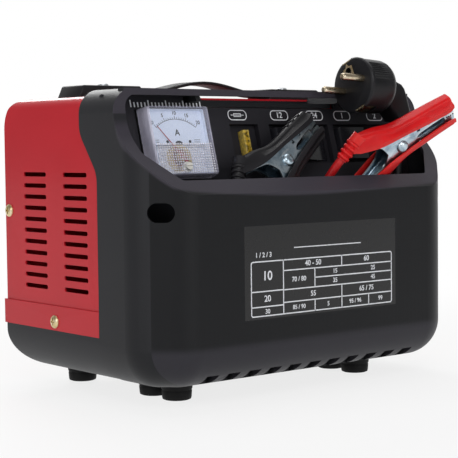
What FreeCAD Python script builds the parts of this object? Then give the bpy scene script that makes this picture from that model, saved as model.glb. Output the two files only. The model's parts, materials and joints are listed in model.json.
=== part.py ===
import math
import os

import FreeCAD
import Part
from FreeCAD import Placement, Rotation, Vector
from Sketcher import Constraint

# Car battery charger with a lead pocket in front of a leaning instrument panel.
# Frame: +X to the right of the panel, +Y to the rear, +Z up. The origin is on the ground under the middle.

doc = FreeCAD.newDocument("battery_charger")
dims = doc.addObject("Spreadsheet::Sheet", "dims")

# Every size is written once here, in millimetres or degrees.
sizes = [
    ("width", 260, "outside width of the front moulding"),
    ("front_reach", 86, "origin to the front face"),
    ("rear_reach", 86, "origin to the rear of the chassis edge"),
    ("facet", 22.4, "run of the 45 degree corner facets"),
    ("body_bottom", 13.5, "ground to the flat underside, which is the foot height"),
    ("moulding_top", 193.4, "ground to the top bar"),
    ("wall", 3, "plastic wall"),
    ("corner_round", 26, "upright edges of the facets"),
    ("bottom_round", 25, "rounding all round the underside"),
    ("shoulder_round", 15, "moulding side to top"),
    ("fit_gap", 0.2, "gap between housing pieces that meet"),
    ("lip_height", 129.5, "outer edge of the pocket lip at the front face"),
    ("rim_slope", 43.5, "slope of the rim on the cheeks"),
    ("rim_width", 9, "width of the rim band seen from above"),
    ("rim_skin", 3, "thickness of the rim band"),
    ("cheek_depth", 42.2, "front face to the upright front edge of the cheeks and the bar"),
    ("cheek_bend", 30, "bend between sloping and upright rim"),
    ("bar_height", 4, "height of the top bar"),
    ("bar_depth", 6, "depth of the top bar"),
    ("window_round", 10, "upper corners of the panel window"),
    ("mouth_start", 60, "ground to where the cut for the pocket's mouth starts"),
    ("window_run", 17, "window behind the bar's front edge"),
    ("dip_half", 58, "half length of the dip behind the bar, at its floor"),
    ("dip_slant", 4, "lean of the dip's ends"),
    ("seam_reach", 25.5, "origin to the moulding's rear edge low down"),
    ("seam_top_reach", 7.2, "origin to the moulding's rear edge at the top"),
    ("seam_bend_low", 142, "height where the seam starts to sweep back"),
    ("seam_bend_high", 167, "height where the seam is upright again"),
    ("seam_bend", 16, "bend radius of the seam"),
    ("pocket_depth", 41.5, "front face to the face of the pocket's back wall"),
    ("port_length", 16.5, "oval port in each facet"),
    ("port_height", 11.5, "oval port in each facet"),
    ("port_level", 119.5, "ground to the middle of the ports"),
    ("vent_count", 11, "slots in the front underside"),
    ("vent_pitch", 16.8, "spacing of the front slots"),
    ("vent_width", 9.5, "width of one front slot"),
    ("vent_level", 20.5, "top of the front slots"),
    ("vent_run", 20, "front face to the inner end of the front slots"),
    ("vent_start", 6, "front face to the outer end of the front slots"),
    ("label_width", 130, "rating label"),
    ("label_height", 57, "rating label"),
    ("label_level", 81, "ground to the middle of the label"),
    ("label_thickness", 0.3, "rating label, let in flush"),
    ("panel_slope", 15.5, "lean of the instrument panel"),
    ("panel_depth", 58, "front face to the panel's top edge"),
    ("panel_top", 186, "ground to the panel's top edge, which is the dip's floor"),
    ("panel_foot", 24.9, "row of instruments down to the panel's lower edge"),
    ("panel_thickness", 2.5, "instrument panel and pocket back wall"),
    ("panel_gap", 0.5, "instrument panel to the moulding's walls"),
    ("row_drop", 28, "panel's top edge to the row of instruments"),
    ("panel_head", 32, "row of instruments up to the panel's hidden upper edge"),
    ("recess_depth", 4, "depth of the recesses in the panel"),
    ("recess_skin", 1.5, "wall of the recesses"),
    ("recess_height", 27, "recesses in the panel"),
    ("fuse_recess_width", 24, "recess round the fuse"),
    ("rocker_recess_width", 53, "recess round each rocker"),
    ("meter_offset", 79.3, "origin to the meter's middle, to the left"),
    ("meter_width", 50, "meter flange"),
    ("meter_height", 45, "meter flange"),
    ("meter_proud", 12, "meter cover in front of the panel"),
    ("meter_taper", 1.5, "how far the cover's front edges lean in"),
    ("meter_skin", 1.5, "wall of the clear cover"),
    ("meter_barrel", 19, "radius of the meter's barrel behind the panel"),
    ("meter_barrel_depth", 26, "meter behind the panel"),
    ("dial_width", 44, "meter dial"),
    ("dial_height", 22, "meter dial"),
    ("dial_level", 5.5, "dial in front of the panel"),
    ("dial_thickness", 0.6, "meter dial"),
    ("dial_lift", 9.6, "meter's middle up to the dial's middle"),
    ("post_width", 3, "posts under the dial"),
    ("post_height", 6, "posts under the dial"),
    ("post_inset", 2, "dial's end to the middle of a post"),
    ("stud_length", 5, "meter's terminal studs"),
    ("needle_drop", 9.6, "meter's middle down to the needle's pivot"),
    ("needle_length", 25.5, "pivot to needle tip"),
    ("needle_width", 0.7, "needle"),
    ("needle_thickness", 0.5, "needle"),
    ("needle_tail", 5, "needle behind its pivot"),
    ("needle_rest", 38.7, "needle's lean from upright at zero"),
    ("needle_lift", 1.4, "needle in front of the dial"),
    ("magnet_radius", 8.5, "movement's magnet ring"),
    ("magnet_depth", 3.8, "movement's magnet ring"),
    ("magnet_wall", 2.5, "movement's magnet ring"),
    ("magnet_floor", 1, "floor of the magnet ring"),
    ("hub_radius", 1.6, "needle hub"),
    ("hub_height", 1.2, "needle hub"),
    ("pin_rise", 1.6, "movement's pin above the back of the needle"),
    ("zero_radius", 2.4, "zero-set screw"),
    ("zero_rise", 0.8, "zero-set screw in front of the cover"),
    ("zero_inset", 0.4, "zero-set screw behind the cover's front wall"),
    ("zero_lip", 0.9, "collar that keeps the zero-set screw in"),
    ("zero_slot", 0.7, "slot of the zero-set screw"),
    ("zero_drop", 16.8, "meter's middle down to the zero-set screw"),
    ("fuse_offset", 19.2, "origin to the fuse, to the left"),
    ("fuse_height", 19.1, "blade fuse body"),
    ("fuse_thickness", 5.1, "blade fuse body"),
    ("fuse_body", 10, "fuse body along the panel's normal"),
    ("fuse_proud", 1, "fuse in front of the panel"),
    ("blade_width", 5.2, "fuse blade"),
    ("blade_thickness", 0.7, "fuse blade"),
    ("blade_length", 9, "fuse blade"),
    ("blade_spacing", 14.5, "between the two blades"),
    ("holder_depth", 17, "fuse holder behind the recess floor"),
    ("holder_side", 3.5, "side walls of the fuse holder"),
    ("holder_end", 3, "end walls of the fuse holder"),
    ("running_gap", 0.3, "gap round pieces that move"),
    ("rocker_one_offset", 28.9, "origin to the voltage rocker"),
    ("rocker_two_offset", 86.7, "origin to the charge-rate rocker"),
    ("rocker_width", 46, "rocker"),
    ("rocker_height", 22, "rocker"),
    ("rocker_swing", 23.6, "pivot to the rocker's curved ends"),
    ("rocker_tilt", 7, "rocker's lean at each end of its travel"),
    ("rocker_crown", 10, "rocker's middle above its pivot"),
    ("rocker_pivot_depth", 8.5, "rocker's pivot behind the panel's face"),
    ("rocker_belly", 3.4, "rocker below its pivot"),
    ("rocker_pin", 1.5, "radius of the rocker's pivot pin"),
    ("rocker_room", 3.6, "room below the rocker"),
    ("pin_gap", 0.06, "radial gap of pivots"),
    ("switch_depth", 22, "switch body behind the recess floor"),
    ("switch_wall", 2.5, "walls of a switch body"),
    ("tab_thickness", 0.8, "terminal tab"),
    ("tab_width", 6.3, "terminal tab"),
    ("tab_length", 8, "terminal tab"),
    ("tab_spacing", 12, "between the tabs of a switch"),
    ("overcut", 1, "how far a cutting shape passes what it cuts"),
    ("sliver", 0.05, "smallest step between neighbouring faces"),
    ("cover_inset", 1.4, "red cover inside the moulding's width"),
    ("sheet", 1.2, "sheet steel"),
    ("cover_top", 189.5, "ground to the red cover's top"),
    ("cover_shoulder", 7, "bend between side and top"),
    ("cover_rear_round", 19, "bend between top and rear"),
    ("rear_panel_top", 164, "ground to the rear panel's upper edge"),
    ("flange", 12, "flanges of the rear panel"),
    ("slot_count", 11, "slots in a side column"),
    ("slot_pitch", 7.2, "spacing of the side slots"),
    ("slot_height", 2.8, "side slot"),
    ("slot_length", 27, "side slot"),
    ("slot_level", 69.2, "ground to the lowest slot"),
    ("slot_front_place", 0.9, "middle of the front column"),
    ("slot_rear_place", 47.5, "middle of the rear column"),
    ("rear_slot_length", 46, "slot in the rear panel"),
    ("rear_slot_place", 34, "middle of each rear column"),
    ("rear_slot_count", 9, "slots in a rear column"),
    ("rear_slot_rise", 8, "rear slots above the side slots"),
    ("edge_low", 42.4, "ground to the chassis tray"),
    ("edge_high", 58.2, "ground to the top of the chassis edge"),
    ("tray_proud", 0.4, "base tray outside the cover's sides"),
    ("tray_set_back", 1, "base tray inside the chassis edge at the rear"),
    ("screw_head", 4.2, "radius of the case screws' heads"),
    ("head_share", 0.72, "top of a screw head as a share of its radius"),
    ("screw_rise", 1.8, "height of a screw head"),
    ("screw_shank", 1.9, "radius of a case screw"),
    ("screw_reach", 7, "length of a case screw behind its head"),
    ("edge_screw_place", 24, "edge screw along the side"),
    ("edge_screw_level", 48, "ground to the edge screws"),
    ("side_screw_place", 79.5, "side screw near the rear"),
    ("side_screw_level", 117, "ground to the side screws"),
    ("foot_radius", 10.5, "rubber foot at its top"),
    ("foot_taper", 1.2, "how much narrower a foot is at the ground"),
    ("foot_place", 78, "feet left and right of the middle"),
    ("rear_foot_place", 81, "rear feet left and right of the middle"),
    ("foot_front", 34, "origin forward to the front feet"),
    ("foot_middle", 10, "origin forward to the middle feet"),
    ("foot_rear", 68, "origin back to the rear feet"),
    ("foot_screw", 2, "radius of a foot screw"),
    ("foot_screw_reach", 11, "length of a foot screw"),
    ("foot_well", 7, "depth of the well in a foot's underside"),
    ("foot_boss", 12, "radius of the bosses over the rear feet"),
    ("handle_place", 40.7, "origin back to the strap"),
    ("cap_inner", 56, "middle to the near end of a handle cap"),
    ("cap_length", 51, "handle cap"),
    ("cap_width", 26, "handle cap"),
    ("cap_height", 8.8, "handle cap"),
    ("cap_slope", 4, "lean of the cap's outer end"),
    ("cap_near_slope", 1, "lean of the cap's near end"),
    ("strap_width", 20, "handle strap"),
    ("strap_thickness", 2.2, "handle strap"),
    ("strap_rise", 8, "height of the strap's arch"),
    ("strap_level", 3, "strap above the cover inside the caps"),
    ("strap_half", 98, "half length of the strap"),
    ("strap_end_gap", 1.5, "strap's end to the end of its slot"),
    ("strap_slot_start", 5, "strap's slot before the cap's near end"),
    ("handle_screw_place", 79, "handle screws left and right"),
    ("handle_screw_head", 3.8, "radius of the handle screws' heads"),
    ("core_width", 96, "transformer core"),
    ("core_height", 80, "transformer core"),
    ("core_stack", 45, "transformer core"),
    ("core_limb", 32, "transformer core's middle limb"),
    ("core_window", 48, "height of the core's windows"),
    ("core_place", 18, "middle of the core, to the left"),
    ("core_depth", 26, "middle of the core behind the origin"),
    ("winding_bulge", 15, "winding beyond the core, front and rear"),
    ("winding_gap", 0.6, "gap round the windings"),
    ("primary_share", 22, "height of the primary winding"),
    ("strap_steel", 2, "transformer clamp"),
    ("bolt_reach", 4, "core bolts beyond the core"),
    ("bolt_head", 2.6, "heads of the core bolts"),
    ("foot_bolt_head", 2.4, "heads of the transformer's foot bolts"),
    ("clamp_foot", 16, "feet of the transformer clamp"),
    ("sink_width", 60, "rectifier plate"),
    ("sink_height", 70, "rectifier plate"),
    ("sink_place", 88, "middle of the rectifier, to the right"),
    ("fin_count", 6, "fins of the rectifier plate"),
    ("fin_depth", 14, "fins of the rectifier plate"),
    ("fin_thickness", 1.6, "fins of the rectifier plate"),
    ("diode_radius", 6.4, "press-in diode"),
    ("diode_height", 6, "press-in diode"),
    ("block_length", 42, "terminal block"),
    ("block_gap", 8, "terminal block clear of the transformer"),
    ("cutout_radius", 8, "thermal cut-out"),
    ("cutout_level", 12, "chassis floor to the cut-out's middle"),
    ("mains_radius", 3.25, "mains lead"),
    ("lead_radius", 2.75, "output leads"),
    ("mains_coil_x", 45, "middle of the mains coil"),
    ("mains_coil_level", 72, "ground to the middle of the mains coil"),
    ("mains_coil_depth", 8.5, "front face to the coil's first layer"),
    ("mains_coil_start", 42.5, "radius where the mains coil starts"),
    ("mains_pitch", 7.7, "spacing of the mains turns"),
    ("mains_quarters", 19, "quarter turns in the mains coil"),
    ("mains_turning", 10, "quarter turns before the mains coil reverses"),
    ("mains_run_in", 27, "straight start of the mains coil"),
    ("mains_drop", 6.5, "relief to the mains lead's first corner"),
    ("mains_swing", 8.5, "first to second corner, sideways"),
    ("mains_rise", 23, "coil's middle to the corner above it"),
    ("mains_lean", 4, "mains lead's step to the right on its way up"),
    ("mains_ease", 3, "mains lead's step to the rear on its way up"),
    ("plug_run", 7, "straight end of the mains lead at the plug"),
    ("coil_run_out", 8, "straight end of every coil"),
    ("lead_coil_x", 45, "middle of the red coil"),
    ("lead_coil_shift", 100, "red coil to black coil"),
    ("lead_coil_level", 58.5, "ground to the middle of the lead coils"),
    ("lead_coil_depth", 24.5, "front face to their first layer"),
    ("lead_coil_start", 36, "radius where a lead coil starts"),
    ("lead_pitch", 6.5, "spacing of the lead turns"),
    ("lead_quarters", 21, "quarter turns in a lead coil"),
    ("lead_turning", 11, "quarter turns before a lead coil reverses"),
    ("lead_run_in", 8, "straight start of a lead coil"),
    ("lead_drop", 4.5, "relief to a lead's first corner"),
    ("lead_swing", 6.5, "first to second corner, sideways"),
    ("clamp_run", 10, "straight end of a lead at its clamp"),
    ("tie_width", 6, "coil tie"),
    ("tie_thickness", 1.1, "coil tie"),
    ("tie_gap", 0.35, "coil tie to the turns"),
    ("mains_gland_x", 103, "mains gland"),
    ("mains_relief", 18, "mains strain relief in front of the wall"),
    ("mains_nut", 8, "radius of the mains gland's flange"),
    ("gland_flange", 4, "thickness of the mains gland's flange"),
    ("gland_step", 2.5, "mains gland's flange beyond its hole"),
    ("gland_shoulder", 1.5, "flange beyond the relief's thick end"),
    ("gland_lip", 1.2, "wall of the relief at its thin end"),
    ("lead_gland_x", 70, "red lead's gland"),
    ("lead_relief", 6, "lead grommets in front of the wall"),
    ("lead_nut", 5.4, "radius of a lead grommet"),
    ("grommet_flange", 2.5, "thickness of a lead grommet's flange"),
    ("grommet_step", 1.2, "grommet's flange beyond its hole"),
    ("grommet_shoulder", 0.6, "flange beyond the grommet's cone"),
    ("grommet_lip", 1, "wall of a grommet at its thin end"),
    ("grommet_short", 1, "how much less a grommet stands behind the wall"),
    ("gland_behind", 7, "glands behind the wall"),
    ("plug_x", 50, "plug's face"),
    ("plug_depth", 23.7, "front face to the plug's axis"),
    ("plug_level", 197.4, "ground to the plug's axis"),
    ("plug_tilt", 3, "plug pins point up a little"),
    ("plug_radius", 18.5, "plug face"),
    ("plug_face_depth", 14, "round part of the plug"),
    ("plug_length", 36, "plug without its outlet"),
    ("outlet_place", 44, "plug face to the cable outlet"),
    ("outlet_radius", 7.6, "cable outlet"),
    ("outlet_top", 3.5, "outlet's top above the plug's axis"),
    ("outlet_bottom", 22, "outlet's lower end below the axis"),
    ("relief_length", 24, "ribbed strain relief of the plug"),
    ("relief_radius", 5.6, "ribbed strain relief of the plug"),
    ("relief_ribs", 6, "ribs of the strain relief"),
    ("relief_taper", 1.6, "how much smaller the last rib is"),
    ("relief_core_step", 0.8, "ribs beyond the core at the thick end"),
    ("relief_end_step", 2, "ribs beyond the core at the thin end"),
    ("neck_bite", 4, "plug's neck inside its grip"),
    ("plug_pin", 2.4, "radius of a plug pin"),
    ("plug_pin_length", 19, "plug pin"),
    ("plug_stem", 1.9, "radius of a pin's stem inside the plug"),
    ("plug_stem_length", 5, "stem of a plug pin"),
    ("plug_pin_spacing", 19, "between the plug pins"),
    ("pin_line", 25, "lean of the line through the pins"),
    ("earth_hole", 2.4, "radius of the earth socket"),
    ("earth_offset", 10, "earth socket from the plug's axis"),
    ("clip_width", 8, "earth clips"),
    ("clip_length", 11, "earth clips"),
    ("clip_thickness", 1, "earth clips"),
    ("clip_depth", 2, "grooves of the earth clips"),
    ("socket_floor", 3, "earth socket's end to the back of the face"),
    ("jaw_reach", 45, "clamp rivet to jaw tip"),
    ("grip_skin", 1.5, "wall of the grips"),
    ("clamp_width", 16.8, "width of the grips"),
    ("jaw_width", 14, "width of the upper jaw channel"),
    ("jaw_steel", 1.2, "jaw channels"),
    ("rivet_radius", 2.2, "clamp rivet"),
    ("rivet_head", 4.3, "clamp rivet's heads"),
    ("rivet_head_rise", 2.6, "clamp rivet's heads"),
    ("spring_wire", 0.75, "radius of the clamp spring's wire"),
    ("spring_radius", 4.4, "radius of the clamp spring's turns"),
    ("spring_quarters", 10, "near-quarter turns of the clamp spring"),
    ("spring_pitch", 2.2, "spacing of the spring's turns"),
    ("spring_lean", 20, "lean of the spring's legs"),
    ("spring_leg", 18, "legs of the spring"),
    ("grip_relief", 14, "cable relief at the grip's end"),
    ("grip_relief_radius", 5.2, "cable relief at the grip's end"),
    ("grip_relief_root", 6, "cable relief inside the grip"),
    ("grip_relief_lip", 0.8, "wall of the relief at its thin end"),
    ("grip_rib", 1.6, "rings of the cable relief"),
    ("grip_rib_step", 0.4, "how much smaller each ring is than the last"),
    ("red_pivot_x", 75.2, "red clamp's rivet"),
    ("red_pivot_depth", 8.2, "front face to the red clamp's rivet"),
    ("red_pivot_level", 159.3, "red clamp's rivet"),
    ("black_pivot_x", -8.5, "black clamp's rivet"),
    ("black_pivot_depth", 29.2, "front face to the black clamp's rivet"),
    ("black_pivot_level", 146.2, "black clamp's rivet"),
]

# Sizes that follow from the ones above.
worked_out = [
    ("cheek_reach", "=front_reach - cheek_depth", "origin to the upright edge of the cheeks and the bar"),
    ("pocket_back", "=front_reach - pocket_depth", "origin to the face of the pocket's back wall"),
    ("vent_reach", "=front_reach - vent_run", "origin to the inner end of the front slots"),
    ("panel_top_reach", "=front_reach - panel_depth", "origin to the panel's top edge"),
    ("mains_coil_reach", "=front_reach - mains_coil_depth", "origin to the mains coil's first layer"),
    ("lead_coil_reach", "=front_reach - lead_coil_depth", "origin to the lead coils' first layer"),
    ("plug_reach", "=front_reach - plug_depth", "origin forward to the plug's axis"),
    ("red_pivot_reach", "=front_reach - red_pivot_depth", "origin forward to the red clamp's rivet"),
    ("black_pivot_reach", "=front_reach - black_pivot_depth", "origin forward to the black clamp's rivet"),
    ("row_reach", "=panel_top_reach + row_drop * sin(panel_slope)", "origin to the row of instruments"),
    ("row_level", "=panel_top - row_drop * cos(panel_slope)", "ground to the row of instruments"),
    ("panel_low", "=row_level - panel_foot * cos(panel_slope)", "ground to the panel's lower edge"),
    ("opening_half", "=rocker_swing + running_gap", "half width of a rocker's opening"),
]

for row, (name, value, note) in enumerate(sizes + worked_out, start=1):
    dims.set("A%d" % row, name)
    dims.set("B%d" % row, str(value))
    dims.setAlias("B%d" % row, name)
    dims.set("C%d" % row, note)
doc.recompute()

size = {name: float(dims.get(name)) for name, value, note in sizes + worked_out}
counted = ("count", "quarters", "turning", "ribs")
count = {name: int(value) for name, value in size.items() if name.endswith(counted)}
nodes = {}
hair = 0.01


def bind(text):
    """Turn plain size names in an expression into cells of the sheet."""
    words = []
    word = ""
    for letter in str(text) + " ":
        if letter.isalnum() or letter == "_":
            word += letter
            continue
        words.append("dims." + word if word in size else word)
        words.append(letter)
        word = ""
    return "".join(words).strip()


def worth(text):
    """Value of an expression of size names."""
    return float(dims.evalExpression(bind(text)))


def drive(item, settings):
    """Bind the sizes of a piece to expressions."""
    for key, text in settings.items():
        item.setExpression(key, bind(text))


def box(label, across, deep, tall, x, y, z):
    """Box given by its sizes and its left, front and lower sides."""
    item = doc.addObject("Part::Box", label)
    drive(item, {"Length": across, "Width": deep, "Height": tall,
                 "Placement.Base.x": x, "Placement.Base.y": y, "Placement.Base.z": z})
    return item


def rod(label, radius, length, x, y, z, axis=(0, 0, 1)):
    """Cylinder that starts at a point and runs along an axis."""
    item = doc.addObject("Part::Cylinder", label)
    item.Placement = Placement(Vector(), Rotation(Vector(0, 0, 1), Vector(*axis)))
    drive(item, {"Radius": radius, "Height": length,
                 "Placement.Base.x": x, "Placement.Base.y": y, "Placement.Base.z": z})
    return item


def cone(label, start_radius, end_radius, length, x, y, z, axis=(0, 0, 1)):
    """Cone that starts at a point and runs along an axis."""
    item = doc.addObject("Part::Cone", label)
    item.Placement = Placement(Vector(), Rotation(Vector(0, 0, 1), Vector(*axis)))
    drive(item, {"Radius1": start_radius, "Radius2": end_radius, "Height": length,
                 "Placement.Base.x": x, "Placement.Base.y": y, "Placement.Base.z": z})
    return item


def join(label, items, placement=None):
    """Fuse pieces into one."""
    item = doc.addObject("Part::MultiFuse", label)
    item.Shapes = items
    item.Refine = True
    if placement:
        item.Placement = placement
    doc.recompute()
    return item


def overlap(label, items):
    """Keep what several pieces share."""
    item = doc.addObject("Part::MultiCommon", label)
    item.Shapes = items
    doc.recompute()
    return item


def cut(label, base, tools, placement=None):
    """Take tools away from a piece."""
    tool = tools[0] if len(tools) == 1 else join(label + "_tools", tools)
    item = doc.addObject("Part::Cut", label)
    item.Base = base
    item.Tool = tool
    item.Refine = True
    if placement:
        item.Placement = placement
    doc.recompute()
    return item


def group(label, items, placement=None):
    """Keep separate solids together as one piece of the assembly."""
    item = doc.addObject("Part::Compound", label)
    item.Links = items
    if placement:
        item.Placement = placement
    doc.recompute()
    return item


def feature(label, shape, placement=None):
    """Piece whose shape is swept or lofted rather than built from primitives."""
    item = doc.addObject("Part::Feature", label)
    item.Shape = shape
    item.Placement = placement or Placement()
    return item


def keep(node, item):
    """Name a finished piece as a sub-part of the charger."""
    item.Label = node
    nodes[node] = item


def origin_plane(body, role):
    """Plane of a body's own origin."""
    return [plane for plane in body.Origin.OriginFeatures if plane.Role == role][0]


def prism(label, role, corners, length, start=None, centred=True):
    """Body padded from a closed outline whose corners are pairs of expressions."""
    body = doc.addObject("PartDesign::Body", label)
    sketch = body.newObject("Sketcher::SketchObject", label + "_outline")
    sketch.AttachmentSupport = (origin_plane(body, role), [""])
    sketch.MapMode = "FlatFace"
    spots = [Vector(worth(across), worth(up), 0) for across, up in corners]
    last = len(spots) - 1
    for number, spot in enumerate(spots):
        following = spots[0] if number == last else spots[number + 1]
        sketch.addGeometry(Part.LineSegment(spot, following), False)
    for number, (across, up) in enumerate(corners):
        sketch.addConstraint(Constraint("Coincident", number, 2, 0 if number == last else number + 1, 1))
        for kind, text in (("DistanceX", across), ("DistanceY", up)):
            name = "%s%d" % (kind[-1].lower(), number)
            place = sketch.addConstraint(Constraint(kind, -1, 1, number, 1, worth(text)))
            sketch.renameConstraint(place, name)
            sketch.setExpression("Constraints." + name, bind(text))
    if start:
        sketch.setExpression("AttachmentOffset.Base.z", bind(start))
    pad = body.newObject("PartDesign::Pad", label + "_pad")
    pad.Profile = sketch
    pad.Midplane = centred
    pad.setExpression("Length", bind(length))
    doc.recompute()
    return body


def round_edges(body, radius, chosen):
    """Round the edges of a body whose middle and direction pass a test."""
    base = body.Tip
    names = []
    for number, edge in enumerate(base.Shape.Edges, start=1):
        middle = edge.valueAt((edge.FirstParameter + edge.LastParameter) / 2)
        along = edge.tangentAt((edge.FirstParameter + edge.LastParameter) / 2)
        if chosen(middle, along):
            names.append("Edge%d" % number)
    fillet = body.newObject("PartDesign::Fillet", body.Name + "_round")
    fillet.Base = (base, names)
    fillet.setExpression("Radius", bind(radius))
    body.Tip = fillet
    doc.recompute()
    return body


# Shapes shared by the housing pieces.

def plan_corners(inset, rear):
    """Plan of the moulding, with its two 45 degree corners, set in by a distance."""
    half = "(width / 2 - %s)" % inset
    face = "(front_reach - %s)" % inset
    run = "(facet - %s * (2 - sqrt(2)))" % inset
    return [("-" + half, rear), ("-" + half, "%s - %s" % (run, face)), ("%s - %s" % (run, half), "-" + face),
            ("%s - %s" % (half, run), "-" + face), (half, "%s - %s" % (run, face)), (half, rear)]


def moulding_block(label, inset, bottom, top):
    """Solid of the moulding's outside, or of a smaller one inside it."""
    tall = "%s - (%s)" % (top, bottom)
    body = prism(label, "XY_Plane", plan_corners(inset, "0"), tall, bottom, centred=False)
    low = worth(bottom)
    high = worth(top)
    rear = -size["fit_gap"]
    round_edges(body, "corner_round - " + inset,
                lambda middle, along: abs(along.z) > 0.99 and middle.y < rear)
    round_edges(body, "bottom_round - " + inset,
                lambda middle, along: abs(middle.z - low) < hair and middle.y < rear)
    round_edges(body, "shoulder_round - " + inset,
                lambda middle, along: abs(middle.z - high) < hair and middle.y < rear)
    return body


def rim_corners(drop, back):
    """Side view of what lies below and behind the pocket's rim."""
    climb = "(front_reach - cheek_reach) * tan(rim_slope)"
    bend = "lip_height + %s - %s * (1 / cos(rim_slope) - tan(rim_slope))" % (climb, drop)
    cheek = "%s - cheek_reach" % drop
    return [("-front_reach", "lip_height - %s / cos(rim_slope)" % drop), ("-front_reach", "0"), (back, "0"),
            (back, "moulding_top * 2"), (cheek, "moulding_top * 2"), (cheek, bend)]


def below_rim(label, drop):
    body = prism(label, "YZ_Plane", rim_corners(drop, "wall"), "width * 2")
    climb = (size["front_reach"] - size["cheek_reach"]) * math.tan(math.radians(size["rim_slope"]))
    bend_level = size["lip_height"] + climb
    slack = worth(drop) * 2 + hair
    round_edges(body, "cheek_bend - " + drop,
                lambda middle, along: abs(along.x) > 0.99 and abs(middle.z - bend_level) < slack
                and middle.y < -size["cheek_reach"] + slack)
    return body


def seam_corners(gap, front):
    """Side view of the moulding's rear boundary, or of what starts a gap behind it."""
    low = "%s - seam_reach" % gap
    high = "%s - seam_top_reach" % gap
    return [(low, "0"), (low, "seam_bend_low"), (high, "seam_bend_high"), (high, "moulding_top * 2"),
            (front, "moulding_top * 2"), (front, "0")]


def seam_side(label, gap, front):
    body = prism(label, "YZ_Plane", seam_corners(gap, front), "width * 2")
    levels = (size["seam_bend_low"], size["seam_bend_high"])
    return round_edges(body, "seam_bend",
                       lambda middle, along: abs(along.x) > 0.99
                       and min(abs(middle.z - level) for level in levels) < hair)


# Front moulding, one piece with the pocket, its back wall, the top bar and the dip behind it.

outer_block = moulding_block("moulding_outer", "0", "body_bottom", "moulding_top")
inner_block = moulding_block("moulding_inner", "wall", "body_bottom + wall", "moulding_top - wall")
outside = overlap("moulding_outside", [outer_block, below_rim("rim_outer", "0"),
                                       seam_side("seam_front", "0", "-2 * front_reach")])
hollow = overlap("moulding_hollow", [inner_block, below_rim("rim_inner", "rim_skin")])
mouth = prism("rim_mouth", "XY_Plane", plan_corners("rim_width", "window_run - cheek_reach"),
              "moulding_top - bar_height - mouth_start", "mouth_start", centred=False)
round_edges(mouth, "window_round / 2",
            lambda middle, along: abs(along.z) > 0.99 and middle.y < -size["cheek_reach"])
shell = cut("moulding_shell", outside, [hollow, mouth])

back_wall_slab = box("back_wall_slab", "width", "panel_thickness", "panel_low - body_bottom - wall / 2",
                     "-width / 2", "-pocket_back", "body_bottom + wall / 2")
back_wall = overlap("pocket_back_wall", [back_wall_slab, outer_block])
bar = box("top_bar", "width - 2 * rim_width + 2", "bar_depth", "bar_height",
          "rim_width - 1 - width / 2", "-cheek_reach", "moulding_top - bar_height")


def dip_corners(grow):
    half = "(dip_half + %s)" % grow
    rise = "(moulding_top - panel_top + 2)"
    lean = "(dip_slant * %s / (moulding_top - panel_top))" % rise
    low = "panel_top - " + grow
    high = "panel_top + " + rise
    return [("-" + half, low), (half, low), ("%s + %s" % (half, lean), high), ("-%s - %s" % (half, lean), high)]


dip_outer = prism("dip_outer", "XZ_Plane", dip_corners("wall"), "4 * width")
dip_inner = prism("dip_inner", "XZ_Plane", dip_corners("0"), "4 * width")
dip_zone = box("dip_zone", "width", "cheek_reach - bar_depth - seam_top_reach", "wall + moulding_top - panel_top",
               "-width / 2", "bar_depth - cheek_reach", "panel_top - wall")
below_dip = "panel_top - wall - sliver"
in_front = prism("before_panel", "YZ_Plane", [
    ("-panel_top_reach - (wall + sliver) * tan(panel_slope)", below_dip), ("-panel_top_reach", "panel_top"),
    ("-cheek_reach * 2", "panel_top"), ("-cheek_reach * 2", below_dip)], "width")
trough = cut("dip_trough", overlap("dip_walls", [dip_outer, dip_zone]), [dip_inner, in_front])
dip_reach = box("dip_reach", "width", "cheek_reach - bar_depth", "moulding_top",
                "-width / 2", "bar_depth - cheek_reach", "panel_top")
dip_space = overlap("dip_space", [dip_inner, dip_reach])

ports = []
for side in (-1, 1):
    middle = "(port_length - port_height) / 2"
    slot = join("port_%s" % ("left" if side < 0 else "right"), [
        box("port_middle", "port_length - port_height", "wall * 6", "port_height",
            "-" + middle, "-wall * 3", "-port_height / 2"),
        rod("port_end", "port_height / 2", "wall * 6", middle, "-wall * 3", "0", (0, 1, 0)),
        rod("port_start", "port_height / 2", "wall * 6", "-" + middle, "-wall * 3", "0", (0, 1, 0)),
    ], Placement(Vector(), Rotation(Vector(0, 0, 1), 45 * side)))
    drive(slot, {"Placement.Base.x": "%d * (width / 2 - facet / 2 - tab_thickness)" % side,
                 "Placement.Base.y": "facet / 2 + tab_thickness - front_reach", "Placement.Base.z": "port_level"})
    ports.append(slot)

vents = [box("front_vent", "vent_width", "vent_run - vent_start", "vent_level",
             "(%d - (vent_count - 1) / 2) * vent_pitch - vent_width / 2" % number, "vent_start - front_reach", "0")
         for number in range(count["vent_count"])]
label_seat = box("label_seat", "label_width", "label_thickness", "label_height",
                 "-label_width / 2", "-front_reach", "label_level - label_height / 2")


def mains_level():
    return "mains_coil_level + mains_coil_start"


def lead_level():
    return "lead_coil_level - lead_coil_start"


mains_hole = rod("mains_hole", "mains_nut - gland_step", "wall * 3",
                 "mains_gland_x", "-pocket_back - wall", mains_level(), (0, 1, 0))
lead_holes = [rod("lead_hole", "lead_nut - grommet_step", "wall * 3", "lead_gland_x - %d * lead_coil_shift" % number,
                  "-pocket_back - wall", lead_level(), (0, 1, 0)) for number in range(2)]


def foot_spots():
    """Feet as side, signed place along Y and distance from the middle."""
    spots = []
    for side in (-1, 1):
        spots.append((side, "-foot_front", "foot_place"))
        spots.append((side, "-foot_middle", "foot_place"))
        spots.append((side, "foot_rear", "rear_foot_place"))
    return spots


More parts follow.
